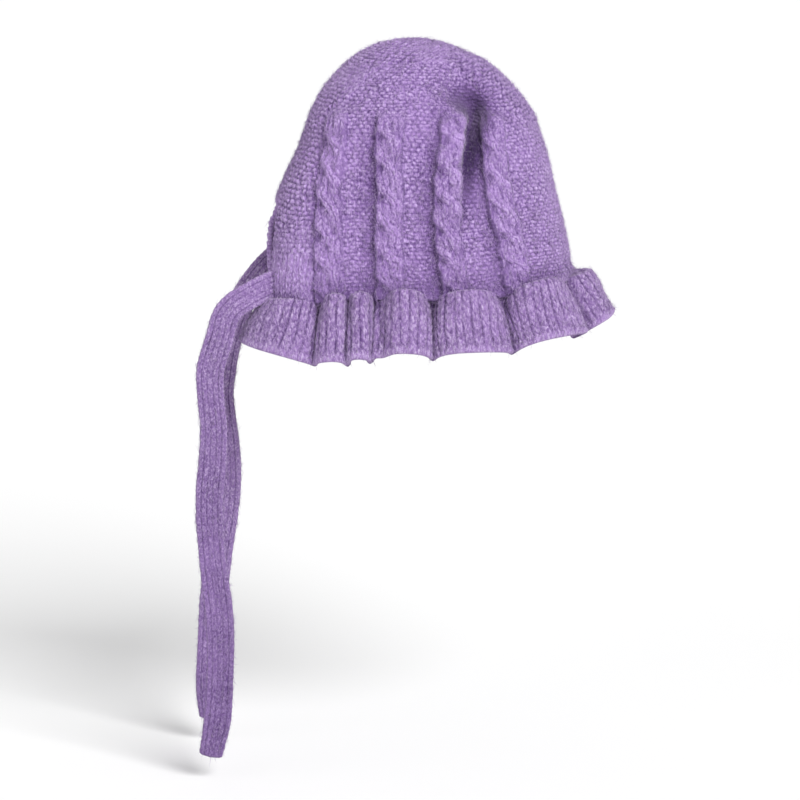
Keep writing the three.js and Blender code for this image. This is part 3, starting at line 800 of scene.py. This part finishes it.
class Finish:
    """The node tree of one material."""

    def __init__(self, name):
        self.material = bpy.data.materials.new(name)
        self.material.use_nodes = True
        self.tree = self.material.node_tree
        self.tree.nodes.clear()

    def node(self, kind, settings, inputs):
        node = self.tree.nodes.new(kind)
        for name, value in settings.items():
            if name == "stops":
                ramp = node.color_ramp.elements
                for element, (position, colour) in zip(ramp, value):
                    element.position, element.color = position, colour
            else:
                setattr(node, name, value)
        for name, value in inputs.items():
            if isinstance(value, Wire):
                self.tree.links.new(value.socket, node.inputs[name])
            else:
                node.inputs[name].default_value = value
        return node

    def wire(self, kind, settings, inputs, output=0):
        return Wire(self, self.node(kind, settings, inputs).outputs[output])

    def blend(self, share, first, second, way="MIX"):
        node = self.node("ShaderNodeMix", {"data_type": "RGBA", "blend_type": way}, {})
        factor, a, b = node.inputs[0], node.inputs[6], node.inputs[7]
        for socket, value in ((factor, share), (a, first), (b, second)):
            if isinstance(value, Wire):
                self.tree.links.new(value.socket, socket)
            else:
                socket.default_value = value
        return Wire(self, node.outputs[2])


def shade(colour, amount):
    return tuple(min(channel * amount, 1.0) for channel in colour) + (1.0,)


# Painted shade of the yarn in its gaps and deepest gaps, as factors of its own colour, and painted highlight
# of its tips
GAP_TINT, GAP_SHADE = (0.77, 0.58, 0.98), 0.36
DEPTH_TINT, DEPTH_SHADE = (0.73, 0.54, 0.96), 0.18
FIBRE_HIGHLIGHT_COLOUR = (0.9, 0.82, 0.96)
SHEEN_TINT = (0.86, 0.76, 0.95, 1.0)
FIBRE_NOISE = {"Scale": 1000.0, "Detail": 3.0, "Roughness": 0.6, "Distortion": 0.6}
PATCH_NOISE = {"Scale": 34.0, "Detail": 2.0}
SPECK_NOISE = {"Scale": 2600.0, "Detail": 2.0}
FIBRE_RELIEF = 0.0009


def yarn(name, colour, sheen=0.35, drawn=0.4):
    """Brushed yarn: painted shade in its gaps, deeper in its deepest gaps, and a painted highlight on its
    fibres.
    """
    finish = Finish(name)
    colour = np.array(colour)
    spread = finish.wire("ShaderNodeTexCoord", {}, {}, "Object")
    tone = finish.wire("ShaderNodeAttribute", {"attribute_name": "tone"}, {}, "Fac")
    lengthwise = finish.wire("ShaderNodeMapping", {}, {"Vector": spread, "Scale": (1.0, 1.0, drawn)})
    fibre = finish.wire("ShaderNodeTexNoise", {}, {"Vector": lengthwise, **FIBRE_NOISE})
    patch = finish.wire("ShaderNodeTexNoise", {}, {"Vector": spread, **PATCH_NOISE})
    speck = finish.wire("ShaderNodeTexNoise", {}, {"Vector": spread, **SPECK_NOISE})
    gap = shade(colour * GAP_TINT, GAP_SHADE)
    depth = shade(colour * DEPTH_TINT, DEPTH_SHADE)
    tip = shade(mix(colour, np.array(FIBRE_HIGHLIGHT_COLOUR), 0.5), 1.0)
    # Painted shade: the gap colour where the tone is low and the deepest gap colour where it is lowest
    gap_shaded_yarn = finish.blend(tone * 1.1 + (fibre - 0.5) * 1.5, gap, shade(colour, 1.0))
    gap_shaded_yarn = finish.blend((0.2 - tone) * 2.2, gap_shaded_yarn, depth)
    # Painted highlight: paler fibre colour, strongest where the tone is high
    lit = finish.blend((fibre - 0.46) * 3.4 * tone + (speck - 0.5) * 0.8, gap_shaded_yarn, tip)
    clouded = finish.blend((patch - 0.42) * 0.8, lit, shade(colour, 1.15))
    relief = finish.wire("ShaderNodeBump", {}, {
        "Height": fibre * 0.7 + speck * 0.3, "Strength": 1.0, "Distance": FIBRE_RELIEF})
    shader = finish.node("ShaderNodeBsdfPrincipled", {}, {
        "Base Color": clouded, "Roughness": 0.93, "Normal": relief, "Sheen Weight": sheen,
        "Sheen Roughness": 0.45, "Sheen Tint": SHEEN_TINT, "Specular IOR Level": 0.12})
    finish.node("ShaderNodeOutputMaterial", {}, {"Surface": Wire(finish, shader.outputs[0])})
    return finish.material


def paint(name, colour, roughness):
    """A plain matt studio surface with a faint mottle."""
    finish = Finish(name)
    patch = finish.wire("ShaderNodeTexNoise", {}, {"Scale": 6.0, "Detail": 2.0})
    tinted = finish.blend(patch * 0.06, shade(colour, 1.0), shade(colour, 0.97))
    shader = finish.node("ShaderNodeBsdfPrincipled", {}, {"Base Color": tinted, "Roughness": roughness})
    finish.node("ShaderNodeOutputMaterial", {}, {"Surface": Wire(finish, shader.outputs[0])})
    return finish.material


# Pieces of the crown and sides

# Rows down to the face opening and on to the rim, and columns of half the ring: the open face,
# the band beside it and the cabled side
CROWN_ROWS, SIDE_ROWS = 186, 97
FIRST_ROW = 0.0008
RING_COUNTS = (64, 64, 320)
ROUGHNESS = 0.09
ROUGHNESS_DRAW = 3
LINING_STEPS = (3, 2)
LINING_STITCH = (5.0, 4.6)
KNITTING = {}


def body_rings():
    """The fine ring of the outside, made once for every piece that is cut from it."""
    if "ring" not in KNITTING:
        face_drop = CROWN_DEPTH + CORNER_DROP - FACE_HEIGHT
        face_along = np.interp(face_drop / CROWN_DEPTH, SECTIONS["drop"], SECTIONS["along"])
        alongs = np.concatenate((np.linspace(FIRST_ROW, face_along, CROWN_ROWS),
                                 np.linspace(face_along, 1, SIDE_ROWS)[1:]))
        ring = make_ring(alongs, *RING_COUNTS)
        height, ring["tone"] = knit_body(ring)
        height = height + np.random.default_rng(ROUGHNESS_DRAW).normal(0, ROUGHNESS, height.shape)
        ring["outer"] = ring["point"] + ring["normal"] * (height - STITCH_SINK)[..., None]
        ring["inner"] = ring["point"] - ring["normal"] * WALL
        ring["face_row"] = CROWN_ROWS - 1
        KNITTING["ring"] = ring
    return KNITTING["ring"]


def closed(values):
    """The columns once round, with the first one again at the end."""
    return np.concatenate((values, values[:, :1]), axis=1)


def take(ring, columns, rows=slice(None)):
    outer, tone = closed(ring["outer"]), closed(ring["tone"])
    return outer[rows][:, columns], tone[rows][:, columns]


def rim_roll(fabric, ring, columns):
    """The lower edge, where the ruffle is knitted on."""
    outer, inner, tone = (closed(ring[name])[-1:, columns] for name in ("outer", "inner", "tone"))
    # The rolled rim is drawn at half tone: painted shade along the seam under the body
    rolled_edge(fabric, outer, inner, np.array((0.0, 0.0, -1.0)), 0.25, 4, tone * 0.5)


def face_roll(fabric, ring, path):
    """The rolled edge round the face opening, along a list of (row, column) places."""
    rows, columns = np.array(path).T
    outer, inner, normal = (closed(ring[name])[rows, columns] for name in ("outer", "inner", "normal"))
    along = np.gradient((outer + inner) / 2, axis=0)
    outward = unit(np.cross(normal, along))
    for _ in range(3):
        outward[1:-1] = unit(outward[:-2] + outward[1:-1] + outward[2:])
    run = np.cumsum(np.linalg.norm(along, axis=1))
    knot = np.abs(np.sin(run * math.pi / 2.6))
    rolled_edge(fabric, outer[None], inner[None], outward[None] * mix(0.75, 1, knot)[None, :, None], 2.0, 8,
                (0.35 + 0.6 * knot)[None])


def make_front(material):
    """The seed-stitch front: both edges of the face and the forehead between them."""
    ring = body_rings()
    face, band = ring["counts"][:2]
    face_row = ring["face_row"]
    row_count, round_count = ring["outer"].shape[:2]
    near_band = np.arange(face, face + band + 1)
    far_band = round_count - near_band[::-1]
    forehead = np.concatenate((np.arange(round_count - face, round_count), np.arange(0, face + 1)))
    fabric = Fabric()
    fabric.grid(*take(ring, near_band))
    fabric.grid(*take(ring, far_band))
    fabric.grid(*take(ring, forehead, slice(0, face_row + 1)))
    path = [(row, face) for row in range(row_count - 1, face_row, -1)]
    path += [(face_row, column) for column in forehead[::-1]]
    path += [(row, round_count - face) for row in range(face_row + 1, row_count)]
    face_roll(fabric, ring, path)
    rim_roll(fabric, ring, near_band)
    rim_roll(fabric, ring, far_band)
    return fabric.piece("seed_stitch_front", material, "knit_body")


def make_panel(name, side, step, material):
    """The cabled side from the front groove to the middle of the back."""
    ring = body_rings()
    face, band, panel = ring["counts"]
    columns = np.arange(face + band, face + band + panel + 1, step)
    if side > 0:
        columns = ring["outer"].shape[1] - columns[::-1]
    fabric = Fabric()
    fabric.grid(*take(ring, columns))
    rim_roll(fabric, ring, columns)
    return fabric.piece(name, material, "knit_body")


def make_lining(material):
    """The inside of the crown and sides, with the stitches that the knitting shows there."""
    ring = body_rings()
    face, face_row = ring["counts"][0], ring["face_row"]
    row_count, round_count = ring["inner"].shape[:2]
    row_step, column_step = LINING_STEPS
    rows = np.concatenate((np.arange(0, face_row, row_step), np.arange(face_row, row_count, row_step)))
    rows = np.unique(np.append(rows, row_count - 1))
    columns = np.arange(0, round_count + 1, column_step)  # the face marks fall on even columns
    height = vees(closed(ring["around"]), closed(ring["down"]), *LINING_STITCH)
    inside = closed(ring["inner"]) - closed(ring["normal"]) * 0.5 * height[..., None]
    in_face = (columns[:-1] < face) | (columns[:-1] >= round_count - face)
    keep = ~((rows[:-1, None] >= face_row) & in_face[None, :])
    fabric = Fabric()
    fabric.grid(inside[rows][:, columns], height[rows][:, columns], keep=keep, flip=True)
    return fabric.piece("lining", material, "knit_body")


# The ruffle

RIM_ALONGS = (0.99, 0.996, 1.0)
RIM_COUNTS = (100, 100, 400)
RUFFLE_COLUMNS = 900
FULL_ROW = 28
LINE_DRIFT = ((1.0, 1, 0, 1, 8.0),)
RUFFLE_ROW_DRIFT = ((0.8, 1, 0, 1, 4.0),)
BACK_ROW = 2.1
RUFFLE_LINE_WAVE = (0.4, 9)
RUFFLE_ROW_WAVE = (0.4, 14)
BINDING_LENGTH, BINDING_SHIFT = 3.1, 1.6
HEM_RUN = (0.9, 0.985)
SEAM_RUN = (0, 0.06)
END_ROUNDING = 1.6
# Relief of the ruffle's two faces in millimetres, how far both lie under the surface, and the
# depth and the steps of the rolled hem
OUTER_STITCH, OUTER_AT_SEAM, OUTER_HEM, OUTER_BINDING = 1.5, 0.3, 0.75, 0.55
OUTER_SINK, OUTER_FLEECE = 0.35, 0.1
INNER_STITCH, INNER_HEM, INNER_BINDING, INNER_SINK = 0.6, 0.5, 0.4, 0.2
HEM_DEPTH, HEM_STEPS = 1.9, 8
# Tones of the ruffle at its stitches, hem, seam, the valleys of its folds and its cut edges; seam and valley
# tones are painted shade
STITCH_TONE = (1.15, -0.1)
HEM_TONE = (0.75, 0.25)
RUFFLE_FLEECE_TONE = 0.08
SEAM_PAINTED_SHADE = 0.55
FOLD_VALLEY_PAINTED_SHADE = 0.1
FOLD_VALLEY = (0, 0.6)
CUT_TONE = 0.3


def rounded_end(places, total, radius, least=0.0):
    """Thins both ends of a strip to nothing, or to a least share, in quarter circles."""
    left = np.clip(1 - np.minimum(places, total - places) / radius, 0, 1)
    return np.sqrt(np.clip(1 - left**2, least, 1))


def rim_line(runs, run_total, edge, ring):
    """Middle of the rim's wall and its outward direction at each distance from the near corner."""
    half = ring["around"].shape[1] // 2 + 1
    near = runs <= run_total / 2
    along = np.where(near, edge + runs, ring["end"][-1, 0] - (runs - run_total / 2))
    around = ring["around"][-1, :half]

    def at(name):
        row = ring[name][-1]
        far_row = np.concatenate((row[:1], row[half - 1:][::-1]))
        return np.stack([np.where(near, np.interp(along, around, row[:half, axis]),
                                  np.interp(along, around, far_row[:, axis])) for axis in range(3)], axis=-1)

    normal = unit(at("normal"))
    return at("point") - normal * WALL / 2, unit(normal * np.array((1.0, 1.0, 0.0)))


def fold_shape(runs, downs, run_total):
    """How far the fabric stands out, slides sideways and falls, and where its folds bulge."""
    share = runs / run_total
    down = downs[:, None]
    last = len(FOLDS["end"]) - 1
    number = np.clip(np.searchsorted(FOLDS["end"], share - 1e-9), 0, last)
    start, end, dent, dent_at = (FOLDS[name][number] for name in ("start", "end", "dent", "dent_at"))
    across = (share - start) / (end - start)
    beside = np.clip(np.where(across < 0.5, number - 1, number + 1), 0, last)
    weight = FOLD_BLEND * (2 * across - 1) ** 2
    length, depth, flare, arch = (mix(FOLDS[name][number], FOLDS[name][beside], weight)
                                  for name in ("length", "depth", "flare", "arch"))
    lean = np.interp(share, np.append(FOLDS["start"], 1), np.append(FOLDS["lean"], LAST_LEAN))
    opening, swing, descent = (read(RUFFLE_ROWS, name, downs, key="down")[:, None]
                               for name in ("open", "swing", "fall"))
    roundness = mix(FOLD_OPEN_TOP, FOLD_ROUNDNESS, ease(down, *FOLD_OPENS))
    gap = mix(FOLD_GAP, 1, ease(down, *FOLD_CLOSES_UP))
    bulge = 1 - np.clip(np.abs(2 * across - 1) * gap, 0, 1) ** roundness
    bulge = bulge - dent * spot((across - dent_at) / DENT_WIDTH)
    angle = np.arcsin(flare)
    length = RUFFLE_LENGTH * length
    depth = FOLD_DEPTH * depth
    near_end = 1 - ease(np.minimum(runs, run_total - runs), 0, END_LIFT_RUN)
    outward = length * down * np.sin(angle) * mix(FLARE_AT_SEAM, 1, down)
    outward = outward + ((depth + PUFF) * bulge - GATHER_TUCK) * opening
    fall = length * np.cos(angle) * (1 - END_LIFT * near_end) * descent - FOLD_RISE * depth * bulge * down
    swell = np.minimum(GATHER_SWELL * (end - start) * run_total, MOST_SWELL) * np.sin(2 * math.pi * across)
    slide = (RUFFLE_LENGTH * lean * mix(swing, down**END_SWING, near_end)
             - swell * opening * mix(0.5, 1, ease(down, *SWELL_GROWS)))
    return outward, slide, fall - SEAM_ARCH * arch * bulge * window(down, *ARCH_RUN), bulge


def make_ruffle(material):
    """The gathered ruffle, one closed piece with a rolled hem."""
    ring = make_ring(RIM_ALONGS, *RIM_COUNTS)
    edge = ring["marks"]["edge"][-1, 0]
    run_total = 2 * (ring["end"][-1, 0] - edge)
    runs = np.linspace(0, run_total, RUFFLE_COLUMNS)
    downs = np.concatenate((np.linspace(0, 0.9, 40), np.linspace(0.92, 1, 7)))
    seam, out = rim_line(runs, run_total, edge, ring)
    onward = np.stack((-out[:, 1], out[:, 0], np.zeros(len(runs))), axis=-1)
    outward, slide, fall, bulge = fold_shape(runs, downs, run_total)
    middle = seam[None] + out[None] * outward[..., None] + onward[None] * slide[..., None]
    middle[..., 2] -= SEAM_GAP + fall
    normal = unit(np.cross(np.gradient(middle, downs, axis=0), np.gradient(middle, axis=1)))
    across = run_along(middle[FULL_ROW])[None, :] * np.ones((len(downs), 1))
    drop = downs[:, None] * RUFFLE_LENGTH * np.ones((1, len(runs)))
    line = across + wave(drop, *RUFFLE_LINE_WAVE) + uneven(across, drop, LINE_DRIFT)
    rows = drop + wave(across, *RUFFLE_ROW_WAVE) + uneven(across, drop, RUFFLE_ROW_DRIFT)
    fleece = uneven(across, drop, FLEECE)
    outside = vees(line, rows, size("ruffle_stitch"), size("ruffle_row"))
    inside = bricks(line, drop, size("ruffle_stitch"), BACK_ROW, PURL_ROUNDNESS)
    hem = ease(downs, *HEM_RUN)[:, None]
    seam_part = ease(downs, *SEAM_RUN)[:, None]
    binding = 0.5 + 0.5 * np.cos(2 * math.pi * across / BINDING_LENGTH + BINDING_SHIFT * hem)
    end_part = rounded_end(runs, run_total, END_ROUNDING)[None, :]
    outer_by = mix(OUTER_STITCH * outside * mix(OUTER_AT_SEAM, 1, seam_part),
                   OUTER_HEM + OUTER_BINDING * binding, hem) - OUTER_SINK + OUTER_FLEECE * fleece
    inner_by = mix(INNER_STITCH * inside, INNER_HEM + INNER_BINDING * binding, hem) - INNER_SINK
    outer = middle + normal * ((RUFFLE_WALL / 2 + outer_by) * end_part)[..., None]
    inner = middle - normal * ((RUFFLE_WALL / 2 + inner_by) * end_part)[..., None]
    (strong, plain), (hem_base, hem_relief) = STITCH_TONE, HEM_TONE
    hem_tone = hem_base + hem_relief * binding
    tone = mix(strong * outside + plain, hem_tone, hem) + RUFFLE_FLEECE_TONE * fleece
    # Painted shade under the seam and in the valleys between the folds
    tone = tone * mix(SEAM_PAINTED_SHADE, 1, seam_part) * mix(FOLD_VALLEY_PAINTED_SHADE, 1, ease(bulge, *FOLD_VALLEY))
    fabric = Fabric()
    fabric.grid(outer, tone)
    fabric.grid(inner, mix(inside, hem_tone, hem), flip=True)
    below = unit(middle[-1] - middle[-2])
    rolled_edge(fabric, outer[-1:], inner[-1:], below[None], HEM_DEPTH, HEM_STEPS, tone[-1:])
    for side, other in ((inner[0], outer[0]), (outer[:, 0], inner[:, 0]), (inner[:, -1], outer[:, -1])):
        fabric.grid(np.stack((side, other)), CUT_TONE)
    piece = fabric.piece("ruffle_fabric", material, "knit_ruffle")
    KNITTING["ruffle"] = (outer, normal)
    return piece


# The ties

TIE_STEP = 0.85
TIE_COLUMNS = 84
TIE_SQUARE = (0.5, 0.8)
TIE_SIDE = (0.86, 1.0)
TIE_EDGE = (0.8, 1.0)
TIE_FLEECE = ((1.0, 1.6, 0, 1, 1.7),)
TIE_WAIST = (0.05, 13.0)
TIE_TAPER = (0.14, 30)
TIE_ROUNDING, TIE_END_LEAST = 2.2, 0.02
TIE_CUP_RUN = (2, 30)
# Relief of a tie in millimetres, and its tones
TIE_STITCH, TIE_SIDE_STITCH, TIE_SINK, TIE_FLEECE_LEVEL = 0.85, 0.35, 0.6, 0.2
TIE_STITCH_TONE, TIE_BASE_TONE, TIE_EDGE_TONE, TIE_FLEECE_TONE = 0.7, 0.08, 0.2, 0.07


def smooth_path(path, per_span):
    """Points on a smooth curve through a path, in millimetres."""
    spots = np.array(path) / TO_METRES
    before = np.concatenate((2 * spots[:1] - spots[1:2], spots, 2 * spots[-1:] - spots[-2:-1]))
    u = np.linspace(0, 1, per_span, endpoint=False)[:, None]
    pieces = []
    for a, b, c, d in zip(before, before[1:], before[2:], before[3:]):
        pieces.append(0.5 * (2 * b + (c - a) * u + (2 * a - 5 * b + 4 * c - d) * u**2
                             + (3 * b - a - 3 * c + d) * u**3))
    return np.concatenate(pieces + [spots[-1:]])


def tie_outline():
    """Evenly spaced places round a tie: how far across, how thick and the outward direction."""
    around = np.linspace(0, 2 * math.pi, 721)
    outline = np.stack([np.sign(turn) * np.abs(turn) ** power * full / 2 for turn, power, full in zip(
        (np.cos(around), np.sin(around)), TIE_SQUARE, (TIE_WIDTH, TIE_THICKNESS))], axis=-1)
    run = run_along(outline)
    places = np.linspace(0, run[-1], TIE_COLUMNS, endpoint=False)
    across, thick = (np.interp(places, run, outline[:, axis]) for axis in (0, 1))
    normal = unit(np.stack((across / (TIE_WIDTH / 2) ** 2, thick / (TIE_THICKNESS / 2) ** 2), axis=-1))
    return across, thick, normal


def make_tie(name, node, path, tones, material):
    """A flat knitted tie on its route, cupped a little, knitted in columns from end to end."""
    rough = smooth_path(path, 24)
    run = run_along(rough)
    total = run[-1]
    spots = np.linspace(0, total, int(total / TIE_STEP))
    line = np.stack([np.interp(spots, run, rough[:, axis]) for axis in range(3)], axis=-1)
    forward = unit(np.gradient(line, axis=0))
    wide = unit(np.cross(np.array((0.0, -1.0, 0.0)), forward))
    face = unit(np.cross(forward, wide))
    across, thick, normal = tie_outline()
    rest = np.abs(across) / (TIE_WIDTH / 2)
    down = spots[:, None]
    stitch = vees(across + size("tie_stitch") / 2, down, size("tie_stitch"), size("tie_row"))
    side_stitch = 0.5 + 0.5 * np.cos(2 * math.pi * down / size("tie_row"))
    on_side = ease(rest, *TIE_SIDE)
    fleece = uneven(across, down, TIE_FLEECE)
    height = mix(TIE_STITCH * stitch, TIE_SIDE_STITCH * side_stitch, on_side) - TIE_SINK
    height = height + TIE_FLEECE_LEVEL * fleece
    (waist, waist_length), (taper, taper_run) = TIE_WAIST, TIE_TAPER
    narrow = 1 - waist * (0.5 + wave(down, 0.5, waist_length)) - taper * ease(down, total - taper_run, total)
    ends = rounded_end(down, total, TIE_ROUNDING, TIE_END_LEAST)
    cup = TIE_CUP * rest**2 * ease(np.minimum(down, total - down), *TIE_CUP_RUN)
    u = across * narrow * ends + normal[:, 0] * height * ends
    v = thick * ends + normal[:, 1] * height * ends + cup
    points = line[:, None, :] + wide[:, None, :] * u[..., None] + face[:, None, :] * v[..., None]
    tone = TIE_STITCH_TONE * mix(stitch, side_stitch, on_side) + TIE_BASE_TONE
    tone = tone + TIE_EDGE_TONE * ease(rest, *TIE_EDGE) + TIE_FLEECE_TONE * fleece
    # Painted light and shade along the tie, from the first factor at the sewn end to the second at the free
    # end
    tone = tone * mix(*tones, down / total)
    fabric = Fabric()
    fabric.grid(closed(points), closed(tone))
    for end, flip in ((0, False), (-1, True)):
        cap = np.stack((np.broadcast_to(line[end], points[end].shape), points[end]))
        fabric.grid(closed(cap), 0.5, flip=flip)
    piece = fabric.piece(name, material, "knit_tie")
    KNITTING[name] = (points, unit(points - line[:, None, :]))
    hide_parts(node)
    return piece


# The loose fibres: the share that stands up, how steep those and the lying ones are, and the
# share of the length and of the thickness that each kind has
STANDING_SHARE = 0.35
STANDING, LYING = (0.5, 1.4), (0.12, 0.35)
STANDING_FROM = 0.4
FIBRE_LENGTHS = (0.5, 1.4)
FIBRE_THICKNESS = (0.08, 0.16)
FIBRE_DROOP = 1.6
FIBRE_TONE = 0.95
# Faces of a fibre, whose first three points are its foot and whose fourth is its tip
SPIKE = ((0, 3, 1), (1, 3, 2), (2, 3, 0), (0, 1, 2))


def make_fuzz(name, roots, normals, count, material, seed):
    """Loose fibres on the knitting, each a thin three-sided spike; most of them lie nearly flat."""
    chance = np.random.default_rng(seed)
    pick = chance.integers(len(roots), size=count)
    root, normal = roots[pick], normals[pick]
    each = (count, 1)
    length = size("fibre_length") * chance.uniform(*FIBRE_LENGTHS, each)
    sideways = chance.normal(size=(count, 3))
    sideways[:, 2:] += FIBRE_DROOP * np.sign(chance.normal(size=each))
    sideways = unit(sideways - normal * np.sum(sideways * normal, axis=1, keepdims=True))
    upright = np.where(chance.uniform(size=each) < STANDING_SHARE, chance.uniform(*STANDING, each),
                       chance.uniform(*LYING, each))
    stands = upright > STANDING_FROM
    direction = unit(normal * upright + sideways)
    tip = root + direction * length * np.where(stands, 0.75, 1.2)
    first = unit(np.cross(direction, normal + sideways * 0.3))
    second = np.cross(direction, first)
    thick = chance.uniform(*FIBRE_THICKNESS, each) * np.where(stands, 0.7, 1.0)
    foot = [root + (first * math.cos(angle) + second * math.sin(angle)) * thick
            for angle in (0, 2 * math.pi / 3, 4 * math.pi / 3)]
    points = np.stack(foot + [tip], axis=1).reshape(-1, 3)
    loops = (np.arange(count)[:, None, None] * 4 + np.array(SPIKE)[None]).reshape(-1)
    counts = np.full(len(loops) // 3, 3)
    return make_piece(name, points, loops, counts, np.full(len(points), FIBRE_TONE), material)


# Steps

# Direction, softness in degrees and strength of each lamp
LAMPS = (("key", (0.42, -0.75, 0.58), 30, 3.5), ("fill", (-0.7, -0.8, 0.3), 60, 0.8))
# Number of fibres and the seed of their random draws
FIBRES = {"body": (24000, 11), "ruffle": (10000, 12), "near_tie": (2800, 13), "far_tie": (2800, 14)}
BARE_ROWS = 6
BARE_TIE_ROWS = 30
FUZZ_DRAW = 5
DARK_FOLD = 0.3


def aimed(name, data, offset):
    """Puts a camera or lamp at an offset from the middle of the view, looking at it."""
    aim = Vector(CAMERA_AIM)
    holder = bpy.data.objects.new(name, data)
    holder.location = aim + offset
    holder.rotation_euler = (aim - holder.location).to_track_quat("-Z", "Y").to_euler()
    bpy.context.scene.collection.objects.link(holder)
    return holder


class BONNET_OT_stage(bpy.types.Operator):
    """Add the camera, the lights and the pale floor"""

    bl_idname = "bonnet.stage"
    bl_label = "Studio"

    def execute(self, context):
        camera = bpy.data.cameras.new("camera")
        camera.lens = CAMERA_LENS
        camera.sensor_width = 36.0
        camera.clip_end = 20.0
        offset = Vector((0.0, -math.cos(CAMERA_LIFT), math.sin(CAMERA_LIFT))) * CAMERA_DISTANCE
        context.scene.camera = aimed("camera", camera, offset)
        for name, direction, softness, strength in LAMPS:
            light = bpy.data.lights.new(name, "SUN")
            light.angle = math.radians(softness)
            light.energy = strength
            aimed(name, light, Vector(direction) * LAMP_DISTANCE)
        world = bpy.data.worlds.new("studio")
        world.use_nodes = True
        sky = world.node_tree.nodes["Background"]
        sky.inputs["Color"].default_value = (1.0, 1.0, 1.0, 1.0)
        sky.inputs["Strength"].default_value = SKY_STRENGTH
        context.scene.world = world
        context.scene.view_settings.view_transform = "Standard"
        mesh = bpy.data.meshes.new("floor")
        corners = [(x * FLOOR_REACH, y * FLOOR_REACH, FLOOR_LEVEL)
                   for x, y in ((-1, -1), (1, -1), (1, 1), (-1, 1))]
        mesh.from_pydata(corners, [], [(0, 1, 2, 3)])
        mesh.materials.append(paint("pale_floor", chosen_colour("floor"), 0.9))
        floor = bpy.data.objects.new("floor", mesh)
        context.scene.collection.objects.link(floor)
        return {"FINISHED"}


class BONNET_OT_ties(bpy.types.Operator):
    """Knit the two ties"""

    bl_idname = "bonnet.ties"
    bl_label = "Ties"

    def execute(self, context):
        material = yarn("tie_yarn", chosen_colour("ties"), drawn=0.65)
        # Painted light and shade: the far tie is painted lighter near the bonnet, whose shadow falls on it,
        # and both ties darker towards their free ends
        make_tie("near_tie", "tie_near", NEAR_TIE_PATH, (1.1, 0.4), material)
        make_tie("far_tie", "tie_far", FAR_TIE_PATH, (1.7, 0.5), material)
        return {"FINISHED"}


class BONNET_OT_body(bpy.types.Operator):
    """Knit the crown and sides"""

    bl_idname = "bonnet.body"
    bl_label = "Crown and sides"

    def execute(self, context):
        material = yarn("body_yarn", chosen_colour("body"))
        front = make_front(material)
        near = make_panel("near_side", NEAR, 1, material)
        far = make_panel("far_side", FAR, 2, material)
        lining = make_lining(yarn("lining_yarn", tuple(c * 0.9 for c in chosen_colour("body")), 0.2))
        for piece in (front, near, far, lining):
            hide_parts("body")
        return {"FINISHED"}


class BONNET_OT_ruffle(bpy.types.Operator):
    """Knit the gathered ruffle"""

    bl_idname = "bonnet.ruffle"
    bl_label = "Ruffle"

    def execute(self, context):
        piece = make_ruffle(yarn("ruffle_yarn", chosen_colour("ruffle")))
        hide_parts("ruffle")
        return {"FINISHED"}


class BONNET_OT_fuzz(bpy.types.Operator):
    """Raise the loose fibres of the brushed yarn"""

    bl_idname = "bonnet.fuzz"
    bl_label = "Fibres"

    def execute(self, context):
        ring = body_rings()
        keep = np.ones(ring["outer"].shape[:2], bool)
        face = ring["counts"][0]
        keep[ring["face_row"]:, :face] = False
        keep[ring["face_row"]:, -face:] = False
        keep[:BARE_ROWS] = False
        spacing = np.linalg.norm(np.roll(ring["point"], -1, axis=1) - ring["point"], axis=2)
        chance = np.random.default_rng(FUZZ_DRAW)
        keep &= chance.uniform(size=keep.shape) < spacing / spacing.max()
        keep &= ring["fold"] < DARK_FOLD
        tie_fuzz = yarn("tie_fibre", chosen_colour("ties"), 0.5)
        places = {
            "body": (ring["outer"][keep], ring["normal"][keep],
                     yarn("body_fibre", chosen_colour("body"), 0.5), "knit_body"),
            "ruffle": (*KNITTING["ruffle"],
                       yarn("ruffle_fibre", chosen_colour("ruffle"), 0.5), "knit_ruffle"),
            "near_tie": (*(part[BARE_TIE_ROWS:] for part in KNITTING["near_tie"]), tie_fuzz, "knit_tie"),
            "far_tie": (*(part[BARE_TIE_ROWS:] for part in KNITTING["far_tie"]), tie_fuzz, "knit_tie"),
        }
        for name, (roots, normals, material, slot) in places.items():
            count, seed = FIBRES[name]
            make_fuzz(name + "_fibres", roots.reshape(-1, 3), normals.reshape(-1, 3), count, material,
                      seed)
        return {"FINISHED"}


class BONNET_PT_panel(bpy.types.Panel):
    """The steps and settings of the bonnet"""

    bl_label = "Bonnet"
    bl_idname = "BONNET_PT_panel"
    bl_space_type = "VIEW_3D"
    bl_region_type = "UI"
    bl_category = "Bonnet"

    def draw(self, context):
        layout = self.layout
        for operator in OPERATORS:
            layout.operator(operator.bl_idname)
        for settings in (context.scene.bonnet_sizes, context.scene.bonnet_colours):
            for name in settings.__annotations__:
                layout.prop(settings, name)


OPERATORS = (BONNET_OT_stage, BONNET_OT_ties, BONNET_OT_body, BONNET_OT_ruffle, BONNET_OT_fuzz)
CLASSES = (BonnetSizes, BonnetColours) + OPERATORS + (BONNET_PT_panel,)


def register():
    for kind in CLASSES:
        bpy.utils.register_class(kind)
    bpy.types.Scene.bonnet_sizes = bpy.props.PointerProperty(type=BonnetSizes)
    bpy.types.Scene.bonnet_colours = bpy.props.PointerProperty(type=BonnetColours)


def unregister():
    del bpy.types.Scene.bonnet_colours
    del bpy.types.Scene.bonnet_sizes
    for kind in reversed(CLASSES):
        bpy.utils.unregister_class(kind)


def main():
    register()
    bpy.ops.bonnet.stage()
    bpy.ops.bonnet.ties()
    bpy.ops.bonnet.body()
    bpy.ops.bonnet.ruffle()
    bpy.ops.bonnet.fuzz()


if __name__ == "__main__":
    main()
